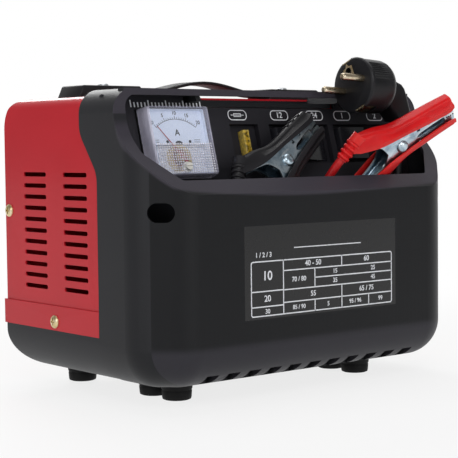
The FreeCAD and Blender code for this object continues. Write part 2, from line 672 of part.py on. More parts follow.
screw_holes = [rod("foot_hole", "foot_screw + pin_gap", "foot_screw_reach * 2",
                   "%d * %s" % (side, place), along, "foot_well - foot_screw")
               for side, along, place in foot_spots()]
with_dip = cut("moulding_with_dip", join("moulding_parts", [shell, back_wall, bar]), [dip_space])
keep("front_moulding", cut("moulding_body", join("moulding_whole", [with_dip, trough]),
                           ports + vents + [label_seat, mains_hole] + lead_holes + screw_holes))
keep("rating_label", box("label_plate", "label_width", "label_thickness", "label_height",
                         "-label_width / 2", "-front_reach", "label_level - label_height / 2"))

# Black base tray.

base_half = "(width / 2 - cover_inset + tray_proud)"


def tray_block(label, inset):
    """Solid of the base tray's outside, or of a smaller one inside it."""
    half = "(%s - %s)" % (base_half, inset)
    bottom = "body_bottom + " + inset
    front = "fit_gap - seam_reach"
    rear = "rear_reach - tray_set_back - " + inset
    across = prism(label + "_across", "XZ_Plane",
                   [("-" + half, bottom), (half, bottom), (half, "edge_low"), ("-" + half, "edge_low")], "4 * width")
    along = prism(label + "_along", "YZ_Plane",
                  [(front, bottom), (rear, bottom), (rear, "edge_low"), (front, "edge_low")], "4 * width")
    low = worth(bottom)
    round_edges(across, "bottom_round - " + inset,
                lambda middle, along: abs(along.y) > 0.99 and abs(middle.z - low) < hair)
    round_edges(along, "bottom_round - " + inset,
                lambda middle, along: abs(along.x) > 0.99 and abs(middle.z - low) < hair and middle.y > 0)
    return overlap(label, [across, along])


tray_outer = tray_block("tray_outer", "0")
bosses = [rod("foot_boss", "foot_boss", "edge_low - body_bottom - wall",
              "%d * rear_foot_place" % side, "foot_rear", "body_bottom")
          for side in (-1, 1)]
tray_shell = cut("base_tray_shell", tray_outer, [tray_block("tray_inner", "wall")])
keep("base_tray", cut("base_tray_body", join("base_tray_parts", [tray_shell] + bosses), screw_holes))

# Red chassis tray with its upstanding edge.

edge_outer = box("edge_outer", "width", "rear_reach + seam_reach - fit_gap", "edge_high - edge_low",
                 "-width / 2", "fit_gap - seam_reach", "edge_low")
edge_inner = box("edge_inner", "width - 2 * sheet", "rear_reach + seam_reach", "edge_high",
                 "sheet - width / 2", "-seam_reach - sheet", "edge_low + sheet")


def side_screws():
    """Side screws as place along Y, height and how far their seat is from the middle."""
    return [("edge_screw_place", "edge_screw_level", "width / 2"),
            ("side_screw_place", "side_screw_level", "width / 2 - cover_inset")]


side_holes = [rod("side_hole", "screw_shank + running_gap", "width * 2", "-width", along, level, (1, 0, 0))
              for along, level, seat in side_screws()]
keep("chassis_tray", cut("chassis_body", edge_outer, [edge_inner, side_holes[0]]))

# Red upper cover.


def cover_block(label, inset):
    """Solid of the cover's outside, or of the space inside its sheet."""
    half = "(width / 2 - cover_inset - %s)" % inset
    rear = "(rear_reach - cover_inset - %s)" % inset
    high = "(cover_top - %s)" % inset
    low = "edge_low + sheet + fit_gap"
    across = prism(label + "_across", "XZ_Plane",
                   [("-" + half, low), (half, low), (half, high), ("-" + half, high)], "4 * width")
    along = prism(label + "_along", "YZ_Plane",
                  [("-width / 2", low), (rear, low), (rear, high), ("-width / 2", high)], "4 * width")
    top = worth(high)
    round_edges(across, "cover_shoulder - " + inset,
                lambda middle, along: abs(along.y) > 0.99 and abs(middle.z - top) < hair)
    round_edges(along, "cover_rear_round - " + inset,
                lambda middle, along: abs(along.x) > 0.99 and abs(middle.z - top) < hair and middle.y > 0)
    return overlap(label, [across, along])


cover_seam = seam_side("seam_rear", "fit_gap", "2 * rear_reach")
cover_outer = overlap("cover_outside", [cover_block("cover_outer", "0"), cover_seam])
rear_gap = box("rear_gap", "width - 2 * cover_inset - 2 * sheet", "rear_reach", "rear_panel_top - edge_low",
               "cover_inset + sheet - width / 2", "rear_reach - cover_inset - cover_rear_round / 2", "edge_low")
slots = []
for row in range(count["slot_count"]):
    for column in ("slot_front_place", "slot_rear_place"):
        level = "slot_level + %d * slot_pitch" % row
        slots.append(box("side_slot", "width * 2", "slot_length - slot_height", "slot_height",
                         "-width", "%s - (slot_length - slot_height) / 2" % column, level + " - slot_height / 2"))
        for end in (-1, 1):
            slots.append(rod("slot_end", "slot_height / 2", "width * 2", "-width",
                             "%s + %d * (slot_length - slot_height) / 2" % (column, end), level, (1, 0, 0)))
handle_holes = [rod("handle_hole", "screw_shank + running_gap", "2 * (screw_reach + cap_height)",
                    "%d * handle_screw_place" % side, "handle_place", "cover_top - screw_reach") for side in (-1, 1)]
keep("upper_cover", cut("cover_body", cover_outer, [cover_block("cover_inner", "sheet"), rear_gap] + slots
                        + side_holes + handle_holes))

# Red rear panel with flanges behind the cover's sides.

rear_half = "(width / 2 - cover_inset - sheet - fit_gap)"
rear_face = "(rear_reach - cover_inset)"
rear_low = "(edge_low + sheet + fit_gap)"
rear_slots = []
for row in range(count["rear_slot_count"]):
    for column in (-1, 1):
        rear_slots.append(box("rear_slot", "rear_slot_length", "2 * flange", "slot_height",
                              "%d * rear_slot_place - rear_slot_length / 2" % column, "rear_reach - flange",
                              "slot_level + rear_slot_rise + %d * slot_pitch" % row))
rear_block = box("rear_block", "2 * " + rear_half, "flange", "rear_panel_top - fit_gap - %s" % rear_low,
                 "-" + rear_half, rear_face + " - flange", rear_low)
rear_space = box("rear_space", "2 * (%s - sheet)" % rear_half, "flange", "rear_panel_top",
                 "sheet - " + rear_half, rear_face + " - flange - sheet", "edge_low")
keep("rear_panel", cut("rear_body", rear_block, [rear_space] + rear_slots + [side_holes[1]]))

# Screws, feet and handle.

case_screws = []
for side in (-1, 1):
    for along, level, seat in side_screws():
        across = "%d * (%s)" % (side, seat)
        case_screws.append(join("case_screw", [
            cone("case_screw_head", "screw_head", "screw_head * head_share", "screw_rise",
                 across, along, level, (side, 0, 0)),
            rod("case_screw_shank", "screw_shank", "screw_reach", across, along, level, (-side, 0, 0))]))
keep("case_screws", group("case_screw_set", case_screws))

feet = []
foot_screws = []
for side, along, place in foot_spots():
    across = "%d * %s" % (side, place)
    foot = cone("foot_cone", "foot_radius - foot_taper", "foot_radius", "body_bottom", across, along, "0")
    feet.append(cut("foot", foot, [
        rod("foot_hollow", "foot_radius / 2", "foot_well", across, along, "0"),
        rod("foot_bore", "foot_screw + pin_gap", "body_bottom * 2", across, along, "-overcut")]))
    foot_screws.append(join("foot_screw", [
        rod("foot_screw_head", "foot_screw * 2", "foot_screw", across, along, "foot_well - foot_screw"),
        rod("foot_screw_shank", "foot_screw", "foot_screw_reach", across, along, "foot_well - foot_screw / 2")]))
keep("rubber_feet", group("foot_set", feet))
keep("foot_screws", group("foot_screw_set", foot_screws))

caps = []
handle_screws = []
for side in (-1, 1):
    far = "(cap_inner + cap_length)"
    top = "cover_top + cap_height"
    cap = prism("handle_cap", "XZ_Plane", [
        ("%d * cap_inner" % side, "cover_top"), ("%d * %s" % (side, far), "cover_top"),
        ("%d * (%s - cap_slope)" % (side, far), top), ("%d * (cap_inner + cap_near_slope)" % side, top)], "cap_width")
    drive(cap, {"Placement.Base.y": "handle_place"})
    near = "cap_inner - strap_slot_start" if side > 0 else "-strap_half - strap_end_gap"
    strap_slot = box("strap_slot", "strap_half - cap_inner + strap_slot_start + strap_end_gap",
                     "strap_width + 2 * running_gap", "strap_thickness + 2 * running_gap", near,
                     "handle_place - strap_width / 2 - running_gap", "cover_top + strap_level - running_gap")
    caps.append(cut("cap_body", cap, [strap_slot, handle_holes[0 if side < 0 else 1]]))
    across = "%d * handle_screw_place" % side
    handle_screws.append(join("handle_screw", [
        cone("handle_screw_cone", "handle_screw_head", "handle_screw_head * head_share", "screw_rise",
             across, "handle_place", top),
        rod("handle_screw_shank", "screw_shank", "cap_height + screw_reach",
            across, "handle_place", "cover_top - screw_reach")]))
keep("handle_caps", group("cap_set", caps))
keep("handle_screws", group("handle_screw_set", handle_screws))


def strap_edge(lift):
    """One long edge of the strap: flat ends and an arch of four arcs."""
    base = size["cover_top"] + size["strap_level"] + lift
    end = size["cap_inner"]
    rise = size["strap_rise"]
    quarter = end / 2
    spots = [Vector(-size["strap_half"], 0, base), Vector(-end, 0, base), Vector(-quarter, 0, base + rise / 2),
             Vector(0, 0, base + rise), Vector(quarter, 0, base + rise / 2), Vector(end, 0, base),
             Vector(size["strap_half"], 0, base)]
    edges = [Part.makeLine(spots[0], spots[1])]
    for first, second, bulge in ((1, 2, -1), (2, 3, 1), (3, 4, 1), (4, 5, -1)):
        middle = (spots[first] + spots[second]) * 0.5 + Vector(0, 0, bulge * rise / 8)
        edges.append(Part.Arc(spots[first], middle, spots[second]).toShape())
    edges.append(Part.makeLine(spots[5], spots[6]))
    return edges


low_edge = strap_edge(0)
high_edge = strap_edge(size["strap_thickness"])
strap_low = size["cover_top"] + size["strap_level"]
ends = [Part.makeLine(Vector(side * size["strap_half"], 0, strap_low),
                      Vector(side * size["strap_half"], 0, strap_low + size["strap_thickness"])) for side in (-1, 1)]
strap_wire = Part.Wire(Part.__sortEdges__(low_edge + high_edge + ends))
strap_bar = feature("strap_bar", Part.Face(strap_wire).extrude(Vector(0, size["strap_width"], 0)))
strap_bar.setExpression("Placement.Base.y", bind("handle_place - strap_width / 2"))
keep("handle_strap", cut("strap_body", strap_bar, handle_holes))

# Instrument panel. Its pieces are drawn flat, with Z out of the panel's face and the instruments' row
# at Y = 0, and then leaned into place.


def lean(item):
    """Set a piece drawn on the flat panel at its real slope."""
    item.Placement = Placement(Vector(), Rotation(Vector(1, 0, 0), 90))
    drive(item, {"Placement.Base.y": "-row_reach", "Placement.Base.z": "row_level",
                 "Placement.Rotation.Angle": "90 - panel_slope"})
    return item


def slab(label, across, tall, thick, x, y, z):
    """Box on the panel, centred on x and y, whose back is at z."""
    return box(label, across, tall, thick, "%s - (%s) / 2" % (x, across), "%s - (%s) / 2" % (y, tall), z)


wells = [("fuse", "-fuse_offset", "fuse_recess_width"), ("voltage", "rocker_one_offset", "rocker_recess_width"),
         ("rate", "rocker_two_offset", "rocker_recess_width")]
panel_solid = [slab("panel_plate", "width - 2 * wall - 2 * panel_gap", "panel_head + panel_foot", "panel_thickness",
                    "0", "(panel_head - panel_foot) / 2", "-panel_thickness")]
through = "8 * panel_thickness"
behind = "-4 * panel_thickness"
panel_cuts = [slab("panel_notch", "2 * (dip_half + wall + dip_slant)", "2 * panel_head", through,
                   "0", "row_drop - wall - 2 * running_gap + panel_head", behind),
              rod("meter_hole", "meter_barrel + running_gap", through, "-meter_offset", "0", behind)]
for name, x, across in wells:
    panel_solid.append(slab(name + "_well", across + " + 2 * recess_skin", "recess_height + 2 * recess_skin",
                            "recess_depth + recess_skin", x, "0", "-recess_depth - recess_skin"))
    panel_cuts.append(slab(name + "_recess", across, "recess_height", "recess_depth + overcut",
                           x, "0", "-recess_depth"))
panel_cuts.append(slab("fuse_hole", "fuse_thickness + 2 * running_gap", "fuse_height + 2 * running_gap", through,
                       "-fuse_offset", "0", behind))
for x in ("rocker_one_offset", "rocker_two_offset"):
    panel_cuts.append(slab("rocker_hole", "2 * opening_half", "rocker_height + 2 * running_gap", through,
                           x, "0", behind))
leaning_panel = lean(cut("panel_body", join("panel_parts", panel_solid), panel_cuts))
keep("instrument_panel", cut("panel_in_moulding", leaning_panel, [nodes["front_moulding"]]))

# Meter.

meter_x = "-meter_offset"
posts = [slab("dial_post", "post_width", "post_height", "dial_level - meter_skin",
              "%s + %d * (dial_width / 2 - post_inset)" % (meter_x, side), "dial_lift", "meter_skin")
         for side in (-1, 1)]
studs = [rod("meter_stud", "screw_shank", "stud_length", "%s + %d * meter_barrel / 2" % (meter_x, side), "0",
             "-meter_barrel_depth - stud_length") for side in (-1, 1)]
keep("meter_housing", lean(join("meter_body", [
    slab("meter_flange", "meter_width", "meter_height", "meter_skin", meter_x, "0", "0"),
    rod("meter_drum", "meter_barrel", "meter_barrel_depth", meter_x, "0", "-meter_barrel_depth")] + studs + posts)))
cover_block_body = prism("meter_cover_block", "XZ_Plane", [
    ("%s - meter_width / 2" % meter_x, "meter_skin"), ("%s + meter_width / 2" % meter_x, "meter_skin"),
    ("%s + meter_width / 2 - meter_taper" % meter_x, "meter_proud"),
    ("%s - meter_width / 2 + meter_taper" % meter_x, "meter_proud")], "meter_height")
cover_front = size["meter_proud"]
round_edges(cover_block_body, "meter_taper", lambda middle, along: abs(middle.z - cover_front) < hair)
keep("meter_cover", lean(cut("meter_cover_body", cover_block_body, [
    slab("cover_space", "meter_width - 2 * meter_skin - 2 * meter_taper", "meter_height - 2 * meter_skin",
         "meter_proud - 2 * meter_skin", meter_x, "0", "meter_skin"),
    rod("zero_hole", "zero_radius + pin_gap", "meter_proud * 2", meter_x, "-zero_drop", "meter_skin")])))
keep("meter_dial", lean(group("meter_dial_plate", [
    slab("dial_plate", "dial_width", "dial_height", "dial_thickness", meter_x, "dial_lift", "dial_level")])))
needle_base = "dial_level + dial_thickness + needle_lift"
magnet = rod("magnet_outer", "magnet_radius", "magnet_depth", meter_x, "-needle_drop", "meter_skin")
magnet_ring = cut("magnet_ring", magnet, [
    rod("magnet_space", "magnet_radius - magnet_wall", "magnet_depth * 2", meter_x, "-needle_drop",
        "meter_skin + magnet_floor")])
keep("meter_movement", lean(join("movement_body", [
    magnet_ring,
    rod("movement_core", "hub_radius * 2", "magnet_depth", meter_x, "-needle_drop", "meter_skin"),
    rod("movement_pin", "hub_radius / 2", needle_base + " + pin_rise - meter_skin",
        meter_x, "-needle_drop", "meter_skin")])))
needle = cut("needle_body", join("needle_parts", [
    slab("pointer", "needle_width", "needle_length", "needle_thickness", "0", "needle_length / 2", "0"),
    slab("pointer_tail", "needle_width * 2", "needle_tail", "needle_thickness", "0", "-needle_tail / 2", "0"),
    rod("needle_hub", "hub_radius", "hub_height", "0", "0", "0")]),
    [rod("needle_bore", "hub_radius / 2 + pin_gap", "magnet_radius", "0", "0", "-magnet_radius / 2")],
    Placement(Vector(), Rotation(Vector(0, 0, 1), size["needle_rest"])))
needle.setExpression("Placement.Rotation.Angle", bind("needle_rest"))
drive(needle, {"Placement.Base.x": meter_x, "Placement.Base.y": "-needle_drop", "Placement.Base.z": needle_base})
keep("meter_needle", lean(group("needle_set", [needle])))
zero_screw = join("zero_screw_parts", [
    rod("zero_head", "zero_radius", "meter_skin + zero_rise + zero_inset", meter_x, "-zero_drop",
        "meter_proud - meter_skin - zero_inset"),
    rod("zero_collar", "zero_radius + zero_lip", "zero_rise", meter_x, "-zero_drop",
        "meter_proud - meter_skin - zero_rise - sliver")])
keep("meter_zero_screw", lean(cut("zero_screw_body", zero_screw, [
    slab("zero_groove", "zero_radius * 3", "zero_slot", "overcut",
         meter_x, "-zero_drop", "meter_proud - 2 * sliver")])))

# Blade fuse and its holder.

fuse_back = "fuse_proud - fuse_body"
blades = [("-fuse_offset", "%d * blade_spacing / 2" % side) for side in (-1, 1)]
keep("blade_fuse", lean(join("fuse_parts", [
    slab("fuse_block", "fuse_thickness", "fuse_height", "fuse_body", "-fuse_offset", "0", fuse_back)] + [
    slab("fuse_blade", "blade_thickness", "blade_width", "blade_length + overcut", x, y, fuse_back + " - blade_length")
    for x, y in blades])))
holder = slab("holder_block", "fuse_thickness + 2 * holder_side", "fuse_height + 2 * holder_end", "holder_depth",
              "-fuse_offset", "0", "-recess_depth - recess_skin - holder_depth")
keep("fuse_holder", lean(cut("holder_body", holder, [
    slab("fuse_space", "fuse_thickness + 2 * running_gap", "fuse_height + 2 * running_gap", "fuse_body * 2",
         "-fuse_offset", "0", fuse_back + " - running_gap")] + [
    slab("blade_space", "blade_thickness + 2 * running_gap", "blade_width + 2 * running_gap", "fuse_body * 2",
         x, y, fuse_back + " - blade_length - running_gap") for x, y in blades])))

# The two rocker switches. Each rocker's ends are round about its pivot.


def rocker_switch(rocker_node, switch_node, x):
    drop = "(rocker_swing * tan(rocker_tilt))"
    profile = prism(rocker_node + "_profile", "XZ_Plane", [
        ("-rocker_swing", "-rocker_belly"), ("rocker_swing", "-rocker_belly"),
        ("rocker_swing", "rocker_crown - " + drop),
        ("0", "rocker_crown"), ("-rocker_swing", "rocker_crown - " + drop)], "rocker_height")
    round_about = rod(rocker_node + "_ends", "rocker_swing", "rocker_height * 2",
                      "0", "-rocker_height", "0", (0, 1, 0))
    bore = rod(rocker_node + "_bore", "rocker_pin + pin_gap", "rocker_height * 2",
               "0", "-rocker_height", "0", (0, 1, 0))
    rocker = cut(rocker_node + "_body", overlap(rocker_node + "_solid", [profile, round_about]), [bore],
                 Placement(Vector(), Rotation(Vector(0, 1, 0), size["rocker_tilt"])))
    drive(rocker, {"Placement.Rotation.Angle": "rocker_tilt", "Placement.Base.x": x,
                   "Placement.Base.z": "-rocker_pivot_depth"})
    keep(rocker_node, lean(group(rocker_node + "_set", [rocker])))
    floor = "-recess_depth - recess_skin"
    block = slab("switch_block", "2 * (rocker_swing + switch_wall)", "rocker_height + 2 * switch_wall", "switch_depth",
                 x, "0", floor + " - switch_depth")
    case = cut(switch_node + "_case", block, [
        slab("switch_space", "2 * opening_half", "rocker_height + 2 * running_gap", "switch_depth",
             x, "0", "-rocker_pivot_depth - rocker_belly - rocker_room")])
    tabs = [slab("switch_tab", "tab_thickness", "tab_width", "tab_length", "%s + %d * tab_spacing" % (x, number), "0",
                 floor + " - switch_depth - tab_length") for number in (-1, 0, 1)]
    pin = rod("rocker_axle", "rocker_pin", "rocker_height + 2 * running_gap + 2 * overcut",
              x, "-rocker_height / 2 - running_gap - overcut", "-rocker_pivot_depth", (0, 1, 0))
    keep(switch_node, lean(join(switch_node + "_body", [case, pin] + tabs)))


rocker_switch("voltage_rocker", "voltage_switch_body", "rocker_one_offset")
rocker_switch("rate_rocker", "rate_switch_body", "rocker_two_offset")

# Transformer, rectifier and the small parts inside, all on the chassis floor.

floor_level = "(edge_low + sheet)"
core_left = "(-core_place - core_width / 2)"
core_front = "(core_depth - core_stack / 2)"
side_limb = "(core_limb / 2)"
window = "((core_width - 2 * core_limb) / 2)"
window_low = "(%s + (core_height - core_window) / 2)" % floor_level
bolt_spots = [(side, end) for side in (-1, 1) for end in (-1, 1)]
bolt_x = "(core_width / 2 - core_limb / 4)"
bolt_z = "(core_height / 2 - core_limb / 4)"


def core_bolts(label, radius, reach):
    return [rod(label, radius, "core_stack + 2 * %s" % reach, "%d * %s - core_place" % (side, bolt_x),
                "%s - %s" % (core_front, reach), "%s + core_height / 2 + %d * %s" % (floor_level, end, bolt_z),
                (0, 1, 0))
            for side, end in bolt_spots]


windows = [box("core_window", window, "core_stack * 2", "core_window",
               "-core_place + %s" % start, core_front + " - core_stack / 2", window_low)
           for start in ("-%s - %s" % (side_limb, window), side_limb)]
core_block = box("core_block", "core_width", "core_stack", "core_height", core_left, core_front, floor_level)
bolt_holes = core_bolts("core_hole", "foot_screw + pin_gap", "bolt_reach")
keep("transformer_core", cut("core_body", core_block, windows + bolt_holes))


def winding(label, low, tall):
    reach = "(%s + %s - winding_gap)" % (side_limb, window)
    depth = "(core_stack / 2 + winding_bulge)"
    left = "-core_place - " + reach
    right = "%s - core_place" % reach
    front = "core_depth - " + depth
    rear = "core_depth + " + depth
    block = prism(label + "_block", "XY_Plane", [(left, front), (right, front), (right, rear), (left, rear)],
                  tall, low, centred=False)
    round_edges(block, "winding_bulge * 0.6", lambda middle, along: abs(along.z) > 0.99)
    space = box(label + "_space", "core_limb + 2 * winding_gap", "core_stack + 2 * winding_gap", "core_height",
                "-core_place - core_limb / 2 - winding_gap", core_front + " - winding_gap", floor_level)
    return cut(label, block, [space])


keep("primary_winding", winding("primary", window_low + " + winding_gap", "primary_share"))
keep("secondary_winding", winding("secondary", window_low + " + winding_gap + primary_share",
                                  "core_window - 2 * winding_gap - primary_share"))
strap_outer = box("bracket_block", "core_width + 2 * strap_steel", "core_limb", "core_height + strap_steel",
                  core_left + " - strap_steel", "core_depth - core_limb / 2", floor_level)
strap_space = box("bracket_space", "core_width", "core_limb * 2", "core_height",
                  core_left, "core_depth - core_limb", floor_level)
bracket_feet = [box("bracket_foot", "clamp_foot", "core_limb", "strap_steel",
                    x, "core_depth - core_limb / 2", floor_level)
                for x in (core_left + " - clamp_foot", core_left + " + core_width")]
foot_bolt_x = ["-core_place - core_width / 2 - clamp_foot * 0.6", "-core_place + core_width / 2 + clamp_foot * 0.6"]
bracket_holes = [rod("bracket_hole", "foot_screw + pin_gap", "strap_steel * 5", x, "core_depth",
                     floor_level + " - strap_steel * 2") for x in foot_bolt_x]
bracket = join("bracket_parts", [strap_outer] + bracket_feet)
keep("transformer_bracket", cut("bracket_body", bracket, [strap_space] + bracket_holes))
long_bolts = core_bolts("core_bolt", "foot_screw", "bolt_reach")
bolt_ends = core_bolts("bolt_ends", "foot_screw * 2", "bolt_head")
through_bolts = []
for bolt, both_ends in zip(long_bolts, bolt_ends):
    between = box("between_heads", "core_width * 2", "core_stack", "core_height * 2",
                  core_left + " - core_width / 2", core_front, floor_level + " - core_height / 2")
    through_bolts.append(join("through_bolt", [bolt, cut("bolt_heads", both_ends, [between])]))
foot_bolts = [join("foot_bolt", [
    rod("foot_bolt_cap", "foot_screw * 2", "foot_bolt_head", x, "core_depth", floor_level + " + strap_steel"),
    rod("foot_bolt_shank", "foot_screw", "strap_steel + fit_gap", x, "core_depth", floor_level)]) for x in foot_bolt_x]
keep("transformer_bolts", group("bolt_set", through_bolts + foot_bolts))

sink_x = "(sink_place - fin_thickness * 2)"
fins = [box("sink_fin", "fin_depth", "fin_thickness", "sink_height", "sink_place",
            "%d * (sink_width - fin_thickness) / (fin_count - 1)" % number, floor_level)
        for number in range(count["fin_count"])]
sink_plate = box("sink_plate", "fin_thickness * 2", "sink_width", "sink_height", sink_x, "0", floor_level)
keep("rectifier_stack", join("sink_body", [sink_plate] + fins))
diodes = []
for row in (0, 1):
    for column in (0, 1):
        y = "sink_width * (0.27 + %d * 0.46)" % column
        z = "%s + sink_height * (0.45 + %d * 0.33)" % (floor_level, row)
        diodes.append(join("diode", [
            rod("diode_can", "diode_radius", "diode_height", sink_x, y, z, (-1, 0, 0)),
            rod("diode_lead", "pin_gap * 12", "diode_height * 2", sink_x, y, z, (-1, 0, 0))]))
keep("rectifier_diodes", group("diode_set", diodes))
cutout_level = floor_level + " + cutout_level"
cutout_tabs = [box("cutout_tab", "cutout_radius / 2", "cutout_radius * 0.75", "tab_thickness",
                   sink_x + " - cutout_radius * 1.5", "sink_width / 2 - cutout_radius * 0.375",
                   "%s + %d * cutout_radius / 2" % (cutout_level, side)) for side in (-1, 1)]
cutout_can = rod("cutout_can", "cutout_radius", "cutout_radius", sink_x, "sink_width / 2", cutout_level, (-1, 0, 0))
keep("thermal_cutout", join("cutout_body", [cutout_can] + cutout_tabs))
block_base = box("terminal_base", "block_length", "block_length * 0.4", "block_length * 0.2",
                 "core_limb + block_gap", "-block_length / 2", floor_level)
block_cells = [box("terminal_cell", "block_length * 0.19", "block_length * 0.3", "block_length * 0.15",
                   "core_limb + block_gap + block_length * (0.03 + 0.25 * %d)" % number, "-block_length * 0.45",
                   floor_level + " + block_length * 0.2") for number in range(4)]
keep("terminal_block", join("terminal_body", [block_base] + block_cells))

# Cords. A free run is straight stretches with tangent arcs between them.


def tube(path, radius):
    """Round tube along joined edges."""
    wire = Part.Wire(path)
    start = wire.Edges[0]
    heading = start.tangentAt(start.FirstParameter)
    circle = Part.Wire(Part.makeCircle(radius, start.valueAt(start.FirstParameter), heading))
    shell = Part.BRepOffsetAPI.MakePipeShell(wire)
    shell.add(circle)
    shell.build()
    shell.makeSolid()
    return shell.shape()


bend_share = 0.45


def route(node, spots, radius):
    """Tube along a list of corner points, rounded by arcs that take up a share of the shorter run beside them."""
    spots = [Vector(*spot) for spot in spots]
    edges = []
    bends = []
    here = spots[0]
    for before, corner, after in zip(spots, spots[1:], spots[2:]):
        inward = (corner - before).normalize()
        outward = (after - corner).normalize()
        turn = inward.getAngle(outward)
        shorter = min(before.distanceToPoint(corner), corner.distanceToPoint(after))
        bend = bend_share * shorter / math.tan(turn / 2)
        start = corner - inward * (bend_share * shorter)
        end = corner + outward * (bend_share * shorter)
        to_middle = (outward - inward).normalize()
        middle = corner + to_middle * (bend / math.cos(turn / 2) - bend)
        edges.append(Part.makeLine(here, start))
        edges.append(Part.Arc(start, middle, end).toShape())
        bends.append(bend)
        here = end
    edges.append(Part.makeLine(here, spots[-1]))
    solid = tube(edges, radius)
    reach = sum(edge.Length for edge in edges)
    print("%s: length %.0f, bends %s, volume ratio %.3f" % (
        node, reach, ["%.0f" % bend for bend in bends], solid.Volume / (math.pi * radius ** 2 * reach)))
    keep(node, feature(node, solid))
    return reach


def arc_about(start, heading, end):
    """Arc that leaves a point along a heading and ends at another point."""
    chord = end - start
    half = chord.Length / 2
    turn = heading.getAngle(chord)
    if turn < 1e-6:
        return Part.makeLine(start, end)
    sideways = heading - chord * (heading.dot(chord) / chord.dot(chord))
    middle = (start + end) * 0.5 + sideways.normalize() * (half * math.tan(turn / 2))
    return Part.Arc(start, middle, end).toShape()


def biarc(start, leaving, end, arriving):
    """Two tangent arcs between two points with a heading at each."""
    chord = end - start
    both = leaving + arriving
    square = 2 * (leaving.dot(arriving) - 1)
    linear = -2 * chord.dot(both)
    fixed = chord.dot(chord)
    if abs(square) < 1e-9:
        reach = fixed / (2 * chord.dot(arriving))
    else:
        reach = (-linear - math.sqrt(linear ** 2 - 4 * square * fixed)) / (2 * square)
    joint = ((start + leaving * reach) + (end - arriving * reach)) * 0.5
    first = arc_about(start, leaving, joint)
    second = arc_about(end, arriving * -1, joint)
    return [first, second]


def wound(node, spots, headings, radius, run_in, run_out):
    """One unbroken tube through points with headings, straight at both ends."""
    edges = [Part.makeLine(spots[0] - headings[0] * run_in, spots[0])]
    for number in range(len(spots) - 1):
        edges += biarc(spots[number], headings[number], spots[number + 1], headings[number + 1])
    edges.append(Part.makeLine(spots[-1], spots[-1] + headings[-1] * run_out))
    solid = tube(edges, radius)
    reach = sum(edge.Length for edge in edges)
    samples = []
    travelled = 0
    for edge in edges:
        steps = max(2, int(edge.Length / radius))
        points = edge.discretize(Number=steps + 1)
        if samples and points[0].distanceToPoint(samples[-1][1]) > points[-1].distanceToPoint(samples[-1][1]):
            points.reverse()
        for point in points[:-1]:
            samples.append((travelled, point))
            travelled += edge.Length / steps
    near = 6 * radius
    least = min(first[1].distanceToPoint(second[1])
                for place, first in enumerate(samples) for second in samples[place + 1:]
                if second[0] - first[0] > near) - 2 * radius
    print("%s: length %.0f, least gap to itself %.2f, volume ratio %.3f" % (
        node, reach, least, solid.Volume / (math.pi * radius ** 2 * reach)))
    keep(node, feature(node, solid))
    return reach


def flat_coil(node, middle, start_radius, start_angle, direction, pitch, quarters, turning, radius, run_in):
    """Coil in two layers: inwards in the front layer, one quarter to climb, then outwards in the rear layer."""
    spots = []
    headings = []
    for quarter in range(quarters + 1):
        inward = min(quarter, turning)
        outward = max(0, quarter - turning - 1)
        round_radius = start_radius - pitch * inward / 4 + pitch * outward / 4
        layer = pitch if quarter > turning else 0
        angle = math.radians(start_angle + direction * 90 * quarter)
        out = Vector(math.cos(angle), 0, math.sin(angle))
        spots.append(middle + out * round_radius + Vector(0, layer, 0))
        growth = 0
        if quarter < turning:
            growth = -pitch / (2 * math.pi)
        elif quarter > turning + 1:
            growth = pitch / (2 * math.pi)
        around = Vector(-math.sin(angle), 0, math.cos(angle)) * direction
        straight = quarter in (0, quarters)
        headings.append((around * round_radius + out * (0 if straight else growth)).normalize())
    return wound(node, spots, headings, radius, run_in, size["coil_run_out"])


mains_top = worth(mains_level())
lead_low = worth(lead_level())
mains_gland_x = size["mains_gland_x"]
mains_coil_x = size["mains_coil_x"]
mains_front = -size["mains_coil_reach"]
mains_rear = mains_front + size["mains_pitch"]
lead_front = -size["lead_coil_reach"]
wall_face = -size["pocket_back"]
mains_exit = wall_face - size["mains_relief"]
mains_end_radius = worth("mains_coil_start + mains_pitch * (mains_quarters - 2 * mains_turning - 1) / 4")
mains_end_x = mains_coil_x + mains_end_radius

cord_length = route("mains_lead_in", [
    (mains_gland_x, mains_exit, mains_top), (mains_gland_x, mains_exit - size["mains_drop"], mains_top),
    (mains_gland_x - size["mains_swing"], mains_front, mains_top),
    (mains_coil_x + size["mains_run_in"], mains_front, mains_top)], size["mains_radius"])
cord_length += flat_coil("mains_coil", Vector(mains_coil_x, mains_front, size["mains_coil_level"]),
                         size["mains_coil_start"], 90, 1, size["mains_pitch"], count["mains_quarters"],
                         count["mains_turning"], size["mains_radius"], size["mains_run_in"])

# Plug, drawn with its face at X = 0 and its pins towards -X.

plug_frame = Placement(Vector(size["plug_x"], -size["plug_reach"], size["plug_level"]),
                       Rotation(Vector(0, 1, 0), size["plug_tilt"]))
pin_frame = Placement(Vector(), Rotation(Vector(1, 0, 0), -size["pin_line"]))
relief_start = "-outlet_bottom"
pin_places = ["%d * plug_pin_spacing / 2" % side for side in (-1, 1)]
grooves = [box("clip_groove", "clip_length + overcut / 2", "clip_width + 2 * running_gap",
               "clip_depth + overcut / 2", "-overcut / 2", "-clip_width / 2 - running_gap", low)
           for low in ("plug_radius - clip_depth", "-plug_radius - overcut / 2")]
socket = rod("earth_socket", "earth_hole", "plug_face_depth - socket_floor",
             "-overcut / 2", "0", "earth_offset", (1, 0, 0))
seats = [rod("pin_seat", "plug_stem", "plug_stem_length + overcut", "-overcut", place, "0", (1, 0, 0))
         for place in pin_places]
plug_round = cut("plug_round", rod("plug_face", "plug_radius", "plug_face_depth", "0", "0", "0", (1, 0, 0)), [
    join("plug_hollows", grooves + [socket] + seats, pin_frame)])
